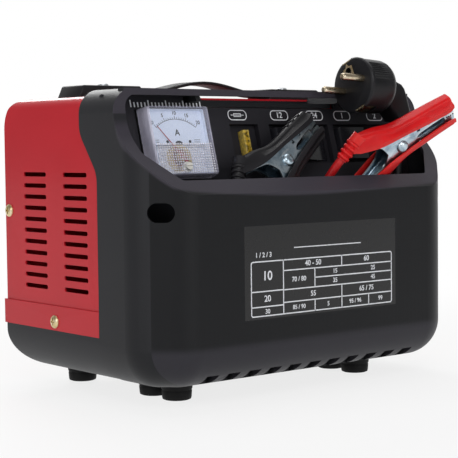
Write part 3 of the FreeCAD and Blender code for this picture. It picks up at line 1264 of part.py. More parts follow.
ribs = [rod("relief_rib", "relief_radius - relief_taper * %d / relief_ribs" % number,
            "relief_length / relief_ribs * 0.55", "outlet_place", "0",
            "%s - relief_length * (%d + 0.9) / relief_ribs" % (relief_start, number))
        for number in range(count["relief_ribs"])]
keep("plug_body", join("plug_parts", [
    plug_round,
    cone("plug_grip", "plug_radius * 0.94", "plug_radius * 0.8", "plug_length - plug_face_depth",
         "plug_face_depth", "0", "0", (1, 0, 0)),
    box("plug_neck", "outlet_place - plug_length + neck_bite", "outlet_radius * 1.7", "outlet_radius * 2.6",
        "plug_length - neck_bite", "-outlet_radius * 0.85", "outlet_top - outlet_radius * 2.6"),
    rod("plug_outlet", "outlet_radius", "outlet_top + outlet_bottom", "outlet_place", "0", relief_start),
    cone("relief_core", "relief_radius - relief_end_step", "relief_radius - relief_core_step",
         "relief_length + overcut", "outlet_place", "0", relief_start + " - relief_length")] + ribs, plug_frame))
contacts = [join("plug_pin", [
    rod("pin_rod", "plug_pin", "plug_pin_length", "-plug_pin_length", place, "0", (1, 0, 0)),
    rod("pin_stem", "plug_stem", "plug_stem_length * 2", "-plug_stem_length", place, "0", (1, 0, 0))])
            for place in pin_places]
contacts += [box("earth_clip", "clip_length", "clip_width", "clip_thickness", "0", "-clip_width / 2", low)
             for low in ("plug_radius - clip_depth", "clip_depth - clip_thickness - plug_radius")]
keep("plug_contacts", group("contact_set", contacts, plug_frame * pin_frame))

plug_cord_end = plug_frame.multVec(Vector(size["outlet_place"], 0, -size["outlet_bottom"] - size["relief_length"]))
plug_cord_heading = plug_frame.Rotation.multVec(Vector(0, 0, -1))
mains_leaves = Vector(mains_end_x, mains_rear, size["mains_coil_level"])
cord_length += route("mains_lead_out", [
    mains_leaves + Vector(0, 0, size["coil_run_out"]), mains_leaves + Vector(0, 0, size["mains_rise"]),
    mains_leaves + Vector(size["mains_lean"], size["mains_ease"], 2 * size["mains_rise"]),
    plug_cord_end + plug_cord_heading * size["plug_run"], plug_cord_end], size["mains_radius"])
print("mains lead %.0f" % cord_length)

# Glands in the pocket's back wall.

keep("mains_gland", join("mains_gland_body", [
    rod("gland_ring", "mains_nut", "gland_flange", "mains_gland_x", "-pocket_back", mains_level(), (0, -1, 0)),
    cone("gland_relief", "mains_nut - gland_shoulder", "mains_radius + gland_lip", "mains_relief",
         "mains_gland_x", "-pocket_back", mains_level(), (0, -1, 0)),
    rod("gland_stem", "mains_nut - gland_step", "panel_thickness",
        "mains_gland_x", "-pocket_back", mains_level(), (0, 1, 0)),
    rod("gland_nut", "mains_nut", "gland_behind - panel_thickness",
        "mains_gland_x", "panel_thickness - pocket_back", mains_level(), (0, 1, 0))]))
grommets = []
for number in range(2):
    across = "lead_gland_x - %d * lead_coil_shift" % number
    grommets.append(join("grommet", [
        rod("grommet_front", "lead_nut", "grommet_flange", across, "-pocket_back", lead_level(), (0, -1, 0)),
        cone("grommet_relief", "lead_nut - grommet_shoulder", "lead_radius + grommet_lip", "lead_relief",
             across, "-pocket_back", lead_level(), (0, -1, 0)),
        rod("grommet_stem", "lead_nut - grommet_step", "panel_thickness",
            across, "-pocket_back", lead_level(), (0, 1, 0)),
        rod("grommet_rear", "lead_nut", "gland_behind - panel_thickness - grommet_short",
            across, "panel_thickness - pocket_back", lead_level(), (0, 1, 0))]))
keep("output_glands", group("grommet_set", grommets))

# Clamps. Both are drawn with the rivet at the origin, X to the jaw tip and Y to the upper grip.
# The outlines are parts of the reach from the rivet to the jaw tip.

lever_outline = [(0.995, 0.007), (0.995, 0.14), (0.46, 0.185), (0, 0.23), (-0.32, 0.28), (-0.69, 0.39),
                 (-0.69, 0.31), (-0.32, 0.16), (-0.21, -0.105), (0.14, -0.115), (0.32, 0.035), (0.42, 0.05),
                 (0.79, 0.046), (0.83, 0.007)]
upper_outline = [(1, 0.12), (1, 0.28), (0.415, 0.315), (-0.03, 0.355), (-0.35, 0.475), (-0.7, 0.56), (-0.8, 0.285),
                 (-0.355, 0.185), (0.17, 0.17), (0.615, 0.11), (0.92, 0.076)]
lower_outline = [(0.98, -0.067), (0.98, -0.225), (0.56, -0.235), (0.08, -0.26), (-0.21, -0.365), (-0.79, -0.575),
                 (-0.83, -0.3), (-0.47, -0.195), (-0.29, -0.137), (0.19, -0.074), (0.79, -0.049)]
relief_seat = (-0.69, 0.44)
relief_heading = Vector(-0.88, -0.48, 0)


def clamp_prism(label, outline, width, shift="0", mirror=1):
    return prism(label, "XY_Plane", [("%s * jaw_reach" % across, "%s * jaw_reach + %s" % (up * mirror, shift))
                                     for across, up in outline], width)


def spring_shape(label):
    """Torsion spring about the rivet with a leg to each lever."""
    steps = count["spring_quarters"]
    start_angle = 90 - size["spring_lean"]
    step = (2 * start_angle + 720) / steps
    spots = []
    headings = []
    rise = size["spring_pitch"] * step / 360
    for number in range(steps + 1):
        angle = math.radians(start_angle - step * number)
        spots.append(Vector(math.cos(angle) * size["spring_radius"], math.sin(angle) * size["spring_radius"],
                            rise * (number - steps / 2)))
        climb = 0 if number in (0, steps) else size["spring_pitch"] / (2 * math.pi)
        around = Vector(math.sin(angle), -math.cos(angle), 0) * size["spring_radius"]
        headings.append((around + Vector(0, 0, climb)).normalize())
    wound(label, spots, headings, size["spring_wire"], size["spring_leg"], size["spring_leg"])


def clamp(colour, pivot, reach, rise):
    """All pieces of one clamp, and the end and heading of its lead."""
    frame = Placement(pivot, Rotation(reach, rise, Vector(), "XYZ"))
    inner_width = "(jaw_width - 2 * jaw_steel - 2 * running_gap)"
    bore = rod("jaw_bore", "rivet_radius + pin_gap", "jaw_width * 2", "0", "0", "-jaw_width")
    notch = rod("rivet_notch", "rivet_head + running_gap * 2", "jaw_width * 2", "0", "0", "-jaw_width")
    upper_lever = clamp_prism("upper_lever", lever_outline, "jaw_width")
    keep(colour + "_upper_jaw", cut(colour + "_upper_jaw_body", upper_lever, [
        clamp_prism("upper_channel", lever_outline, "jaw_width - 2 * jaw_steel", "-jaw_steel"), bore], frame))
    lower_lever = clamp_prism("lower_lever", lever_outline, inner_width, mirror=-1)
    keep(colour + "_lower_jaw", cut(colour + "_lower_jaw_body", lower_lever, [
        clamp_prism("lower_channel", lever_outline, inner_width + " - 2 * jaw_steel", "jaw_steel", -1), bore], frame))
    relief_turn = Rotation(Vector(0, 0, 1), relief_heading)
    relief_at = Placement(Vector(relief_seat[0], relief_seat[1], 0) * size["jaw_reach"], relief_turn)
    relief_core = cone("grip_relief_core", "grip_relief_radius", "lead_radius + grip_relief_lip",
                       "grip_relief + grip_relief_root", "0", "0", "-grip_relief_root")
    relief_rings = [rod("grip_ring", "grip_relief_radius - %d * grip_rib_step" % number, "grip_rib", "0", "0",
                        "grip_relief * (0.1 + 0.23 * %d)" % number) for number in range(4)]
    relief = join("grip_relief_body", [relief_core] + relief_rings, relief_at)
    keep(colour + "_upper_grip", join(colour + "_upper_grip_body", [
        cut("upper_cover", clamp_prism("upper_cover_solid", upper_outline, "clamp_width"), [
            clamp_prism("upper_cover_space", upper_outline, "jaw_width", "-grip_skin"), notch]),
        cut("relief_outside", relief, [clamp_prism("lever_room", lever_outline, "jaw_width")])], frame))
    wide_space = clamp_prism("lower_wide_space", lower_outline, "jaw_width + 2 * running_gap", "grip_skin")
    rotor_reach = box("rotor_reach", "jaw_reach * 0.68", "jaw_reach", "clamp_width * 2",
                      "-0.37 * jaw_reach", "-jaw_reach / 2", "-clamp_width")
    lower_cover = clamp_prism("lower_cover_solid", lower_outline, "clamp_width")
    keep(colour + "_lower_grip", cut(colour + "_lower_grip_body", lower_cover, [
        clamp_prism("lower_cover_space", lower_outline, inner_width, "grip_skin"),
        overlap("rotor_zone", [wide_space, rotor_reach]), notch], frame))
    keep(colour + "_rivet", join(colour + "_rivet_body", [
        rod("rivet_shank", "rivet_radius", "jaw_width", "0", "0", "-jaw_width / 2")] + [
        cone("rivet_cap", "rivet_head", "rivet_head * 0.55", "rivet_head_rise",
             "0", "0", "%d * jaw_width / 2" % side, (0, 0, side))
        for side in (-1, 1)], frame))
    spring_shape(colour + "_spring")
    nodes[colour + "_spring"].Placement = frame
    tip = relief_at.multVec(Vector(0, 0, size["grip_relief"]))
    heading = relief_turn.multVec(Vector(0, 0, 1))
    return frame.multVec(tip), frame.Rotation.multVec(heading)


red_pivot = Vector(size["red_pivot_x"], -size["red_pivot_reach"], size["red_pivot_level"])
black_pivot = Vector(size["black_pivot_x"], -size["black_pivot_reach"], size["black_pivot_level"])
red_tip, red_heading = clamp("red", red_pivot, Vector(0.82, -0.30, 0.48), Vector(-0.56, -0.355, 0.745))
black_tip, black_heading = clamp("black", black_pivot, Vector(0.81, 0.24, 0.53), Vector(-0.60, 0.30, 0.74))

# The two output leads, the black one a fixed distance to the left of the red one.


def output_lead(colour, shift, steps, tip, heading):
    """One lead from its gland to its clamp. The steps are its corners, from where it leaves the coil."""
    gland_x = size["lead_gland_x"] - shift
    coil_x = size["lead_coil_x"] - shift
    exit_y = wall_face - size["lead_relief"]
    reach = route(colour + "_lead_in", [
        (gland_x, exit_y, lead_low), (gland_x, exit_y - size["lead_drop"], lead_low),
        (gland_x - size["lead_swing"], lead_front, lead_low),
        (coil_x + size["lead_run_in"], lead_front, lead_low)], size["lead_radius"])
    reach += flat_coil(colour + "_coil", Vector(coil_x, lead_front, size["lead_coil_level"]),
                       size["lead_coil_start"], 270, -1, size["lead_pitch"], count["lead_quarters"],
                       count["lead_turning"], size["lead_radius"], size["lead_run_in"])
    end_radius = worth("lead_coil_start + lead_pitch * (lead_quarters - 2 * lead_turning - 1) / 4")
    start = Vector(coil_x - end_radius, lead_front + size["lead_pitch"], size["lead_coil_level"] + size["coil_run_out"])
    corners = [start] + [start + Vector(*step) for step in steps] + [tip + heading * size["clamp_run"], tip]
    reach += route(colour + "_lead_out", corners, size["lead_radius"])
    print("%s lead %.0f" % (colour, reach))


red_steps = [(0, 0, 13), (2.75, -0.4, 36.5), (11.75, -1, 58.5)]
black_steps = [(0, 0, 13), (5.75, -1, 32.5), (19.75, -5, 46.5)]
output_lead("red", 0, red_steps, red_tip, red_heading)
output_lead("black", size["lead_coil_shift"], black_steps, black_tip, black_heading)


def coil_tie(coil_x, level, front, start_radius, pitch, turning, radius):
    """Strip tie round all turns at the top of a coil."""
    near = start_radius - pitch * turning / 4 - radius - size["tie_gap"]
    far = start_radius + radius + size["tie_gap"]
    low = level + near
    back = front + pitch + radius + size["tie_gap"]
    front = front - radius - size["tie_gap"]
    thick = size["tie_thickness"]
    outer = box("tie_outer", "tie_width", str(back - front + 2 * thick), str(far - near + 2 * thick),
                "%s - tie_width / 2" % coil_x, str(front - thick), str(low - thick))
    inner = box("tie_inner", "tie_width * 2", str(back - front), str(far - near),
                "%s - tie_width" % coil_x, str(front), str(low))
    return cut("coil_tie", outer, [inner])


ties = [coil_tie(mains_coil_x, size["mains_coil_level"], mains_front, size["mains_coil_start"], size["mains_pitch"],
                 size["mains_turning"], size["mains_radius"])]
for number in range(2):
    ties.append(coil_tie(size["lead_coil_x"] - number * size["lead_coil_shift"], size["lead_coil_level"], lead_front,
                         size["lead_coil_start"], size["lead_pitch"], size["lead_turning"], size["lead_radius"]))
keep("coil_ties", group("tie_set", ties))

# Check every object and save each sub-part.

doc.recompute()
for item in doc.Objects:
    if {"Invalid", "Error"} & set(item.State):
        raise RuntimeError(item.Name + " failed to rebuild")
os.makedirs("parts", exist_ok=True)
for node, item in nodes.items():
    shape = item.Shape
    if shape.isNull() or not shape.isValid() or not shape.Solids:
        raise RuntimeError(node + " is not a sound solid")
    shape.exportStep("parts/%s.step" % node)
print("saved", len(nodes), "sub-parts")
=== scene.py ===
# Car battery charger: the finish of every piece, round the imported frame.
import json
import math

import bmesh
import bpy
from mathutils import Matrix, Vector

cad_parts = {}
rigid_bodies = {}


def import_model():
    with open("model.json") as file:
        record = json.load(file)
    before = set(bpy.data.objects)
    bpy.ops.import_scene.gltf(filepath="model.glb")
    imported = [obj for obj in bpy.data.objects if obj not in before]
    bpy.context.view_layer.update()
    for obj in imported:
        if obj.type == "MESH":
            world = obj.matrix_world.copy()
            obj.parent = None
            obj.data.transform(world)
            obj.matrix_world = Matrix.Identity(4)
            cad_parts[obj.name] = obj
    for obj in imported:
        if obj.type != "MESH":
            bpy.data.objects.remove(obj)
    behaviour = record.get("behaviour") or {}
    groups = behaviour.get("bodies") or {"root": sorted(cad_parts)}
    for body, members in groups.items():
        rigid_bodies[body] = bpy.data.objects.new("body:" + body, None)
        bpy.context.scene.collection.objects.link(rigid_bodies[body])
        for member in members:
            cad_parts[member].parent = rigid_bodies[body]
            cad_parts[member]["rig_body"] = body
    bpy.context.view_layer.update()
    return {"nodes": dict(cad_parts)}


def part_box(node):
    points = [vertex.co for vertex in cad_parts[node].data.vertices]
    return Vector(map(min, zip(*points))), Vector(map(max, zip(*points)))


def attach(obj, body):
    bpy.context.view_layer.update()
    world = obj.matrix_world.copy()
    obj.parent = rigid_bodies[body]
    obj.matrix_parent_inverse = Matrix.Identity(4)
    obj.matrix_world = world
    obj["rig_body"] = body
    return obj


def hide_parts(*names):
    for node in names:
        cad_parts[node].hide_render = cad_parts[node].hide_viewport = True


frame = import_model()
mm = 0.001
scene = bpy.context.scene
scene.view_settings.view_transform = "Standard"
bodyOf = {name: item["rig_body"] for name, item in frame["nodes"].items()}


def linked(name, data):
    item = bpy.data.objects.new(name, data)
    scene.collection.objects.link(item)
    return item


def shiftBy(x, y, z=0.0):
    return Matrix.Translation((x, y, z))


def turnBy(degrees, axis):
    return Matrix.Rotation(math.radians(degrees), 4, axis)


def axesAt(place, *axes):
    return Matrix.Translation(place) @ Matrix(axes).transposed().to_4x4()


# Camera, at the photograph's angle.
camera = {"lens": 108.9, "sensor": 36, "place": (-0.599, -0.721, 0.158),
          "right": (0.7719, -0.6354, -0.0113), "forward": (0.6341, 0.7712, -0.0598)}


def setCamera():
    data = bpy.data.cameras.new("photoCamera")
    data.lens = camera["lens"]
    data.sensor_width = camera["sensor"]
    forward = Vector(camera["forward"]).normalized()
    up = Vector(camera["right"]).cross(forward).normalized()
    item = linked("photoCamera", data)
    item.matrix_world = axesAt(camera["place"], forward.cross(up), up, -forward)
    scene.camera = item


setCamera()
print("camera set")


# Finishes.

def hexColour(code):
    parts = [int(code[place:place + 2], 16) / 255 for place in (1, 3, 5)]
    return (*(part / 12.92 if part <= 0.04045 else ((part + 0.055) / 1.055) ** 2.4 for part in parts), 1.0)


def addNode(tree, kind, inputs=(), stops=(), **settings):
    # An input is a value, another node's output, or a node, whose first open output is then taken.
    node = tree.nodes.new(kind if "Node" in kind else "ShaderNode" + kind)
    for key, value in settings.items():
        setattr(node, key, value)
    for key, value in dict(inputs).items():
        if isinstance(value, bpy.types.Node):
            value = next(output for output in value.outputs if output.enabled)
        if isinstance(value, bpy.types.NodeSocket):
            tree.links.new(value, node.inputs[key])
        else:
            node.inputs[key].default_value = value
    if stops:
        elements = node.color_ramp.elements
        while len(elements) < len(stops):
            elements.new(0.5)
        for element, (place, colour) in zip(elements, stops):
            element.position = place
            element.color = hexColour(colour) if isinstance(colour, str) else (colour, colour, colour, 1)
    return node


def perMetre(size):
    return 1000 / size  # a noise scale whose cells are about this many mm


def newFinish(name):
    finish = bpy.data.materials.new(name)
    finish.use_nodes = True
    finish.node_tree.nodes.clear()
    return finish.node_tree, addNode(finish.node_tree, "TexCoord").outputs["Object"]


def startFinish(name, facts, cell, detail, stops=((0.3, "shade"), (0.7, "colour")), distortion=0):
    # Every finish starts from a cloud of its tones, whose cells are some mm wide.
    tree, place = newFinish(name)
    cloud = addNode(tree, "TexNoise", {"Scale": perMetre(cell), "Detail": detail, "Distortion": distortion,
                                       "Vector": place})
    tone = addNode(tree, "ValToRGB", {"Fac": cloud}, [(spot, facts[key]) for spot, key in stops])
    return tree, place, cloud, tone


def rubbedEdges(tree, tone, facts, start, full, most):
    edge = addNode(tree, "NewGeometry").outputs["Pointiness"]
    rubbed = addNode(tree, "ValToRGB", {"Fac": edge}, [(start, 0.0), (full, most)])
    return addNode(tree, "Mix", {"Factor": rubbed, "A": tone, "B": hexColour(facts["rubbed"])}, data_type="RGBA")


def endFinish(tree, tone, gloss, relief, sockets):
    # Gloss is (what it follows, lowest, highest roughness), relief is (what it follows, strength, mm).
    shine = addNode(tree, "MapRange", {"Value": gloss[0], "To Min": gloss[1], "To Max": gloss[2]})
    bump = addNode(tree, "Bump", {"Height": relief[0], "Strength": relief[1], "Distance": relief[2] * mm})
    shader = addNode(tree, "BsdfPrincipled", {"Base Color": tone, "Roughness": shine, "Normal": bump, **sockets})
    addNode(tree, "OutputMaterial", {"Surface": shader})


# The front face in mm: the twill field, and painted light and shade: the front painted darker than the sides as
# painted shade, a paler band round the mouth above a sagging line, round the cheeks and along the top bar, painted
# light where they face up, and a paler foot, a painted highlight on the lower edge.
faceFacts = {"front": -70, "thread": 2.6, "twillAcross": (-106, 100), "twillUp": (34, 124), "twillRelief": 0.35,
             "foot": (41, 35), "bandSoft": 1.2, "lineAcross": (-141, 105), "lineUp": (125, 146),
             "bandFront": -58, "cornerFront": -80, "cornerRise": 0.62, "cheek": (-66, 173), "cheekRadius": 20.5,
             "cheekFrom": 112, "rimFront": -43.6, "rimLow": 178,
             "line": [(-141, 145), (-127, 139), (-113, 133.6), (-98.5, 131.4), (-60, 128.8), (-20, 127.4),
                      (40, 128.6), (105, 131.4)]}


def frontFaceAndPaintedLight(tree, place, colour, grain, facts):
    # Textured ABS of the front moulding and the base tray, with painted light and shade: the front painted darker
    # than the sides (painted shade), the band round the mouth, the cheeks' rims and the top bar paler (painted light),
    # and the foot paler (painted highlight). The twill is pressed in as relief.
    across, depth, up = addNode(tree, "SeparateXYZ", {"Vector": place}).outputs
    (left, right), (low, high), foot = ([value * mm for value in faceFacts[key]]
                                        for key in ("lineAcross", "lineUp", "foot"))
    along = addNode(tree, "MapRange", {"From Min": left, "From Max": right, "Value": across})
    sag = addNode(tree, "FloatCurve", {"Value": along})
    points = sag.mapping.curves[0].points
    while len(points) < len(faceFacts["line"]):
        points.new(0.5, 0.5)
    for point, (x, z) in zip(points, faceFacts["line"]):
        point.location = ((x * mm - left) / (right - left), (z * mm - low) / (high - low))
    sag.mapping.update()
    line = addNode(tree, "MapRange", {"To Min": low, "To Max": high, "Value": sag})
    corner, soft, radius = (faceFacts[key] * mm for key in ("cornerFront", "bandSoft", "cheekRadius"))
    flank = addNode(tree, "MapRange", {"From Min": corner, "From Max": 0, "Value": depth,
                                       "To Max": -corner * faceFacts["cornerRise"]})
    risen = addNode(tree, "Math", {0: line, 1: flank}, operation="ADD")
    above = addNode(tree, "Math", {0: up, 1: risen}, operation="SUBTRACT")
    profile = addNode(tree, "CombineXYZ", {"Y": depth, "Z": up})
    fromCheek = addNode(tree, "VectorMath", {0: profile, 1: Vector((0, *faceFacts["cheek"])) * mm},
                        operation="DISTANCE")
    sideways = addNode(tree, "Math", {0: across}, operation="ABSOLUTE")
    # Masks of the painted light and shade: the lit band, the cheeks' rims, the top bar, the foot and the front face.
    zone = {}
    for key, value, start, full in (("band", above, -soft, soft), ("rim", fromCheek, radius + soft, radius - soft),
                                    ("foot", up, *foot)):
        zone[key] = addNode(tree, "MapRange", {"From Min": start, "From Max": full, "Value": value},
                            interpolation_type="SMOOTHSTEP")
    for key, value, way in (("bandFront", depth, "LESS_THAN"), ("cheekFrom", sideways, "GREATER_THAN"),
                            ("rimFront", depth, "LESS_THAN"), ("rimLow", up, "GREATER_THAN"),
                            ("front", depth, "LESS_THAN")):
        zone[key] = addNode(tree, "Math", {0: value, 1: faceFacts[key] * mm}, operation=way)
    for key, one, other, way in (("litBandFace", "band", "bandFront", "MULTIPLY"),
                                 ("cheek", "rim", "cheekFrom", "MULTIPLY"), ("lower", "litBandFace", "cheek", "MAXIMUM"),
                                 ("litBar", "rimFront", "rimLow", "MULTIPLY"), ("mouth", "lower", "litBar", "MAXIMUM"),
                                 ("litFootFace", "foot", "front", "MULTIPLY")):
        zone[key] = addNode(tree, "Math", {0: zone[one], 1: zone[other]}, operation=way)
    # Painted shade on the front face, painted light on the band, cheeks and bar, painted highlight on the foot.
    for key, tone in (("front", "field"), ("mouth", "band"), ("litFootFace", "foot")):
        colour = addNode(tree, "Mix", {"Factor": zone[key], "A": colour, "B": hexColour(facts[tone])},
                         data_type="RGBA")
    flat = addNode(tree, "CombineXYZ", {"X": across, "Y": up})
    diagonal = addNode(tree, "Mapping", {"Rotation": (0, 0, math.radians(45)), "Vector": flat})
    weave = addNode(tree, "TexChecker", {"Scale": perMetre(faceFacts["thread"]), "Vector": diagonal})
    pressed = weave.outputs["Fac"]
    for value, limits in ((across, faceFacts["twillAcross"]), (up, faceFacts["twillUp"])):
        for limit, way in zip(limits, ("GREATER_THAN", "LESS_THAN")):
            inside = addNode(tree, "Math", {0: value, 1: limit * mm}, operation=way)
            pressed = addNode(tree, "Math", {0: pressed, 1: inside}, operation="MULTIPLY")
    onFace = addNode(tree, "Math", {0: pressed, 1: zone["front"]}, operation="MULTIPLY")
    height = addNode(tree, "Math", {0: onFace, 1: faceFacts["twillRelief"], 2: grain}, operation="MULTIPLY_ADD")
    return colour, height


def mouldedFinish(name, facts):
    # Moulded plastic or rubber: soft blotches from the melt, the tool's spark texture, rubbed edges.
    tree, place, blotch, tone = startFinish(name, facts, facts["blotch"], 3, ((0.32, "shade"), (0.68, "colour")))
    tone = rubbedEdges(tree, tone, facts, 0.51, 0.60, 0.35)
    grain = addNode(tree, "TexNoise", {"Scale": perMetre(facts["grain"]), "Detail": 2, "Roughness": 0.6,
                                       "Vector": place})
    if "field" in facts:
        tone, grain = frontFaceAndPaintedLight(tree, place, tone, grain, facts)
    endFinish(tree, tone, (blotch, facts["rough"] - 0.05, facts["rough"] + 0.07),
              (grain, facts.get("relief", 0.25), 0.3), {"IOR": 1.5, "Specular IOR Level": facts.get("sheen", 0.22)})


def powderCoat(name, facts):
    # Powder coat on sheet steel: a glossy film with orange peel, faint clouds and rubbed bends.
    tree, place, cloud, tone = startFinish(name, facts, facts["cloud"], 2)
    tone = rubbedEdges(tree, tone, facts, 0.52, 0.62, 0.35)
    peel = addNode(tree, "TexNoise", {"Scale": perMetre(facts["peel"]), "Detail": 1, "Vector": place})
    endFinish(tree, tone, (cloud, 0.18, 0.26), (peel, 0.12, 0.4),
              {"Coat Weight": 0.08, "Coat Roughness": 0.08, "IOR": 1.5, "Specular IOR Level": 0.16})


def platedMetal(name, facts):
    # Plated or bare metal: drawn scratches along one direction, stains in the plating, brighter rubbed edges.
    tree, place, _, tone = startFinish(name, facts, facts["stain"], 3,
                                       ((0.3, "shade"), (0.5, "colour"), (0.72, "bloom")), 0.6)
    tone = rubbedEdges(tree, tone, facts, 0.51, 0.6, 0.5)
    drawn = addNode(tree, "Mapping", {"Scale": facts.get("drawn", (1, 1, 8)), "Vector": place})
    scratch = addNode(tree, "TexNoise", {"Scale": perMetre(facts["grain"]), "Detail": 4, "Vector": drawn})
    endFinish(tree, tone, (scratch, facts["rough"] - 0.08, facts["rough"] + 0.12), (scratch, 0.15, 0.2),
              {"Metallic": 1})


def banded(name, facts):
    # Wound copper wire or stacked sheets: bands a real wire or sheet wide, drawn coarser so that they show.
    tree, place, cloud, tone = startFinish(name, facts, 6, 3)
    bands = addNode(tree, "TexWave", {"Scale": perMetre(facts["band"]) / math.tau, "Vector": place},
                    bands_direction=facts["along"]).outputs["Fac"]
    tone = addNode(tree, "Mix", {"Factor": bands, "A": tone, "B": hexColour(facts["groove"])}, data_type="RGBA")
    endFinish(tree, tone, (cloud, facts["rough"], facts["rough"] + 0.15), (bands, 0.5, 0.4),
              {"Metallic": facts["metal"]})


def clearPlastic(name, facts):
    # Clear polystyrene, a little scuffed: mostly see-through, with a pale veil and sharp highlights.
    tree, place, scuff, tone = startFinish(name, facts, 9, 5)
    endFinish(tree, tone, (scuff, 0.04, 0.14), (scuff, 0.03, 0.2), {"IOR": 1.59, "Alpha": facts["veil"]})


def printedSheet(name, facts):
    # Printed film, paper or ink: a faint fibre or screen mottle under an even coat.
    tree, place, mottle, tone = startFinish(name, facts, facts["mottle"], 4)
    endFinish(tree, tone, (mottle, facts["rough"] - 0.04, facts["rough"] + 0.06), (mottle, 0.08, 0.1), {"IOR": 1.48})


# Each way of finishing, its facts, and each slot's material with these facts. What a row leaves off has a default.
finishRows = [
    (mouldedFinish, "colour shade rubbed rough grain blotch field band foot", {
        # The last three tones are painted: the darker front is painted shade, the paler band painted light, the foot a
        # painted highlight.
        "black_moulding": ("sparkTexturedAbsWithPaintedLight", "#1b1c1f", "#17181b", "#2c2c30", 0.42, 0.45, 60,
                           "#0e0f12", "#38353d", "#2b2a30")}),
    (mouldedFinish, "colour shade rubbed rough grain blotch relief sheen", {
        "panel_black": ("matteAbsPanel", "#232227", "#1d1c21", "#38373d", 0.5, 0.4, 30),
        "handle_black": ("softPvcStrap", "#19191b", "#131315", "#2e2e31", 0.48, 0.8, 20),
        "black_rubber": ("turnedRubber", "#0f0f10", "#0b0b0c", "#222223", 0.62, 0.7, 12),
        "meter_black": ("phenolicCase", "#161618", "#101012", "#303032", 0.32, 0.5, 14),
        "switch_black": ("nylonSwitchCase", "#161618", "#101012", "#303032", 0.4, 0.5, 14),
        "rocker_black": ("polishedRocker", "#101013", "#0c0c0f", "#33333a", 0.16, 0.9, 18, 0.06, 0.5),
        "block_cream": ("creamNylon", "#d9d2bd", "#c8c0a8", "#ece6d6", 0.45, 0.6, 10),
        "cord_black": ("blackPvcSheath", "#131315", "#0e0e10", "#2a2a2d", 0.38, 0.7, 8, 0.35),
        "cord_red": ("redPvcSheath", "#b41418", "#980f14", "#d23c3c", 0.36, 0.7, 8, 0.35),
        "tie_white": ("whiteNylonTie", "#e4e2dc", "#d2d0c9", "#f2f1ee", 0.4, 0.6, 8),
        "plug_rubber": ("mouldedPvcPlug", "#17171a", "#111113", "#303034", 0.36, 0.5, 14),
        "grip_red": ("redPvcGrip", "#d8141a", "#bf0f14", "#ee4a42", 0.3, 0.9, 22, 0.12),
        "grip_black": ("blackPvcGrip", "#19181b", "#131215", "#323135", 0.38, 0.7, 18),
        # Amber is its own colour. The strong mottle from dark olive to bright amber is painted shade and painted
        # highlight, as seen in the clear body.
        "fuse_plastic": ("amberFuseBody", "#cba31c", "#453808", "#ead98c", 0.2, 1.2, 1.5, 0.4, 0.5)}),
    (powderCoat, "colour shade rubbed cloud peel", {
        "red_steel": ("redPowderCoat", "#c21422", "#b4101c", "#cc3c46", 70, 1.6)}),
    (platedMetal, "colour shade bloom rubbed grain stain rough drawn", {
        "yellow_zinc": ("yellowChromate", "#d9c58e", "#b59a5a", "#e6d9c0", "#f2ead2", 0.6, 3, 0.3),
        "bright_steel": ("brightZincSteel", "#b9bcc0", "#94989d", "#d4d6d8", "#eceded", 0.8, 7, 0.34),
        "jaw_zinc": ("blueZincJaw", "#a3b6c3", "#718898", "#cbd8e0", "#eef3f5", 0.7, 9, 0.28, (1.5, 1, 1)),
        "plated_brass": ("nickelOnBrass", "#c9c2b4", "#9f968a", "#e0dbd0", "#d9b46a", 0.5, 6, 0.22),
        "meter_brass": ("meterBrass", "#c9a050", "#9a7632", "#e0c684", "#f0dfae", 0.5, 4, 0.32),
        "diode_steel": ("diodeCan", "#a9abad", "#84878a", "#c6c8ca", "#e2e3e4", 0.5, 5, 0.36),
        "fin_aluminium": ("milledAluminium", "#c3c5c8", "#a3a6aa", "#dcdde0", "#f0f0f2", 0.6, 12, 0.4,
                          (6, 6, 0.6))}),
    (banded, "colour shade groove band along rough metal", {
        "copper_wire": ("enamelledCopper", "#b5683a", "#96502a", "#5c2c14", 1.4, "Z", 0.3, 0.85),
        "core_steel": ("stackedCoreSheets", "#5b5e63", "#484b50", "#2c2e31", 1.6, "Y", 0.42, 0.9)}),
    (clearPlastic, "colour shade veil", {
        "clear_cover": ("clearPolystyrene", "#e6eaf6", "#d4daea", 0.06),
        "ribbedClear": ("ribbedPolystyrene", "#f6f4f8", "#dedbe8", 0.55),
        # The rim's pale veil is painted light: the brightness that the thick clear edges catch.
        "paleRimPaintedLight": ("clearEdgePaintedLight", "#dcd8ea", "#c4c0d6", 0.42)}),
    (printedSheet, "colour shade mottle rough", {
        "dial_sheet": ("dialCard", "#e2ebff", "#dae5fc", 1.5, 0.55),
        "label_film": ("blackLabelFilm", "#0d0d0f", "#09090b", 3, 0.25),
        "needle_black": ("needleEnamel", "#b8525c", "#a2434c", 0.8, 0.4),
        "whiteInk": ("screenedWhiteInk", "#eef0f4", "#dddfe5", 1.2, 0.5),
        "darkInk": ("screenedDarkInk", "#23262e", "#1b1e25", 0.8, 0.5),
        "paleTray": ("paleMeterTray", "#dfe6f6", "#d2daee", 5, 0.5)}),
]
finishes = {}
for make, keys, rows in finishRows:
    for slot, (name, *values) in rows.items():
        make(name, dict(zip(keys.split(), values)))
        finishes[slot] = bpy.data.materials[name]

for item in frame["nodes"].values():
    for place in item.material_slots:
        place.material = finishes[place.material.name.split(".")[0]]
print("finishes made:", len(finishes))


# Ways of making a mesh, all in mm in the piece's own frame.

def plainMesh(shape, name="shape"):
    mesh = bpy.data.meshes.new(name)
    shape.to_mesh(mesh)
    shape.free()
    return mesh


def plainCopy(holder, *helpers):
    # What modifiers or nodes make of an object, as a plain mesh. The object and its helpers go.
    bpy.context.view_layer.update()
    mesh = bpy.data.meshes.new_from_object(holder.evaluated_get(bpy.context.evaluated_depsgraph_get()))
    for item in (*helpers, holder):
        bpy.data.objects.remove(item)
    return mesh


def moved(mesh, place):
    mesh.transform(place)
    return mesh


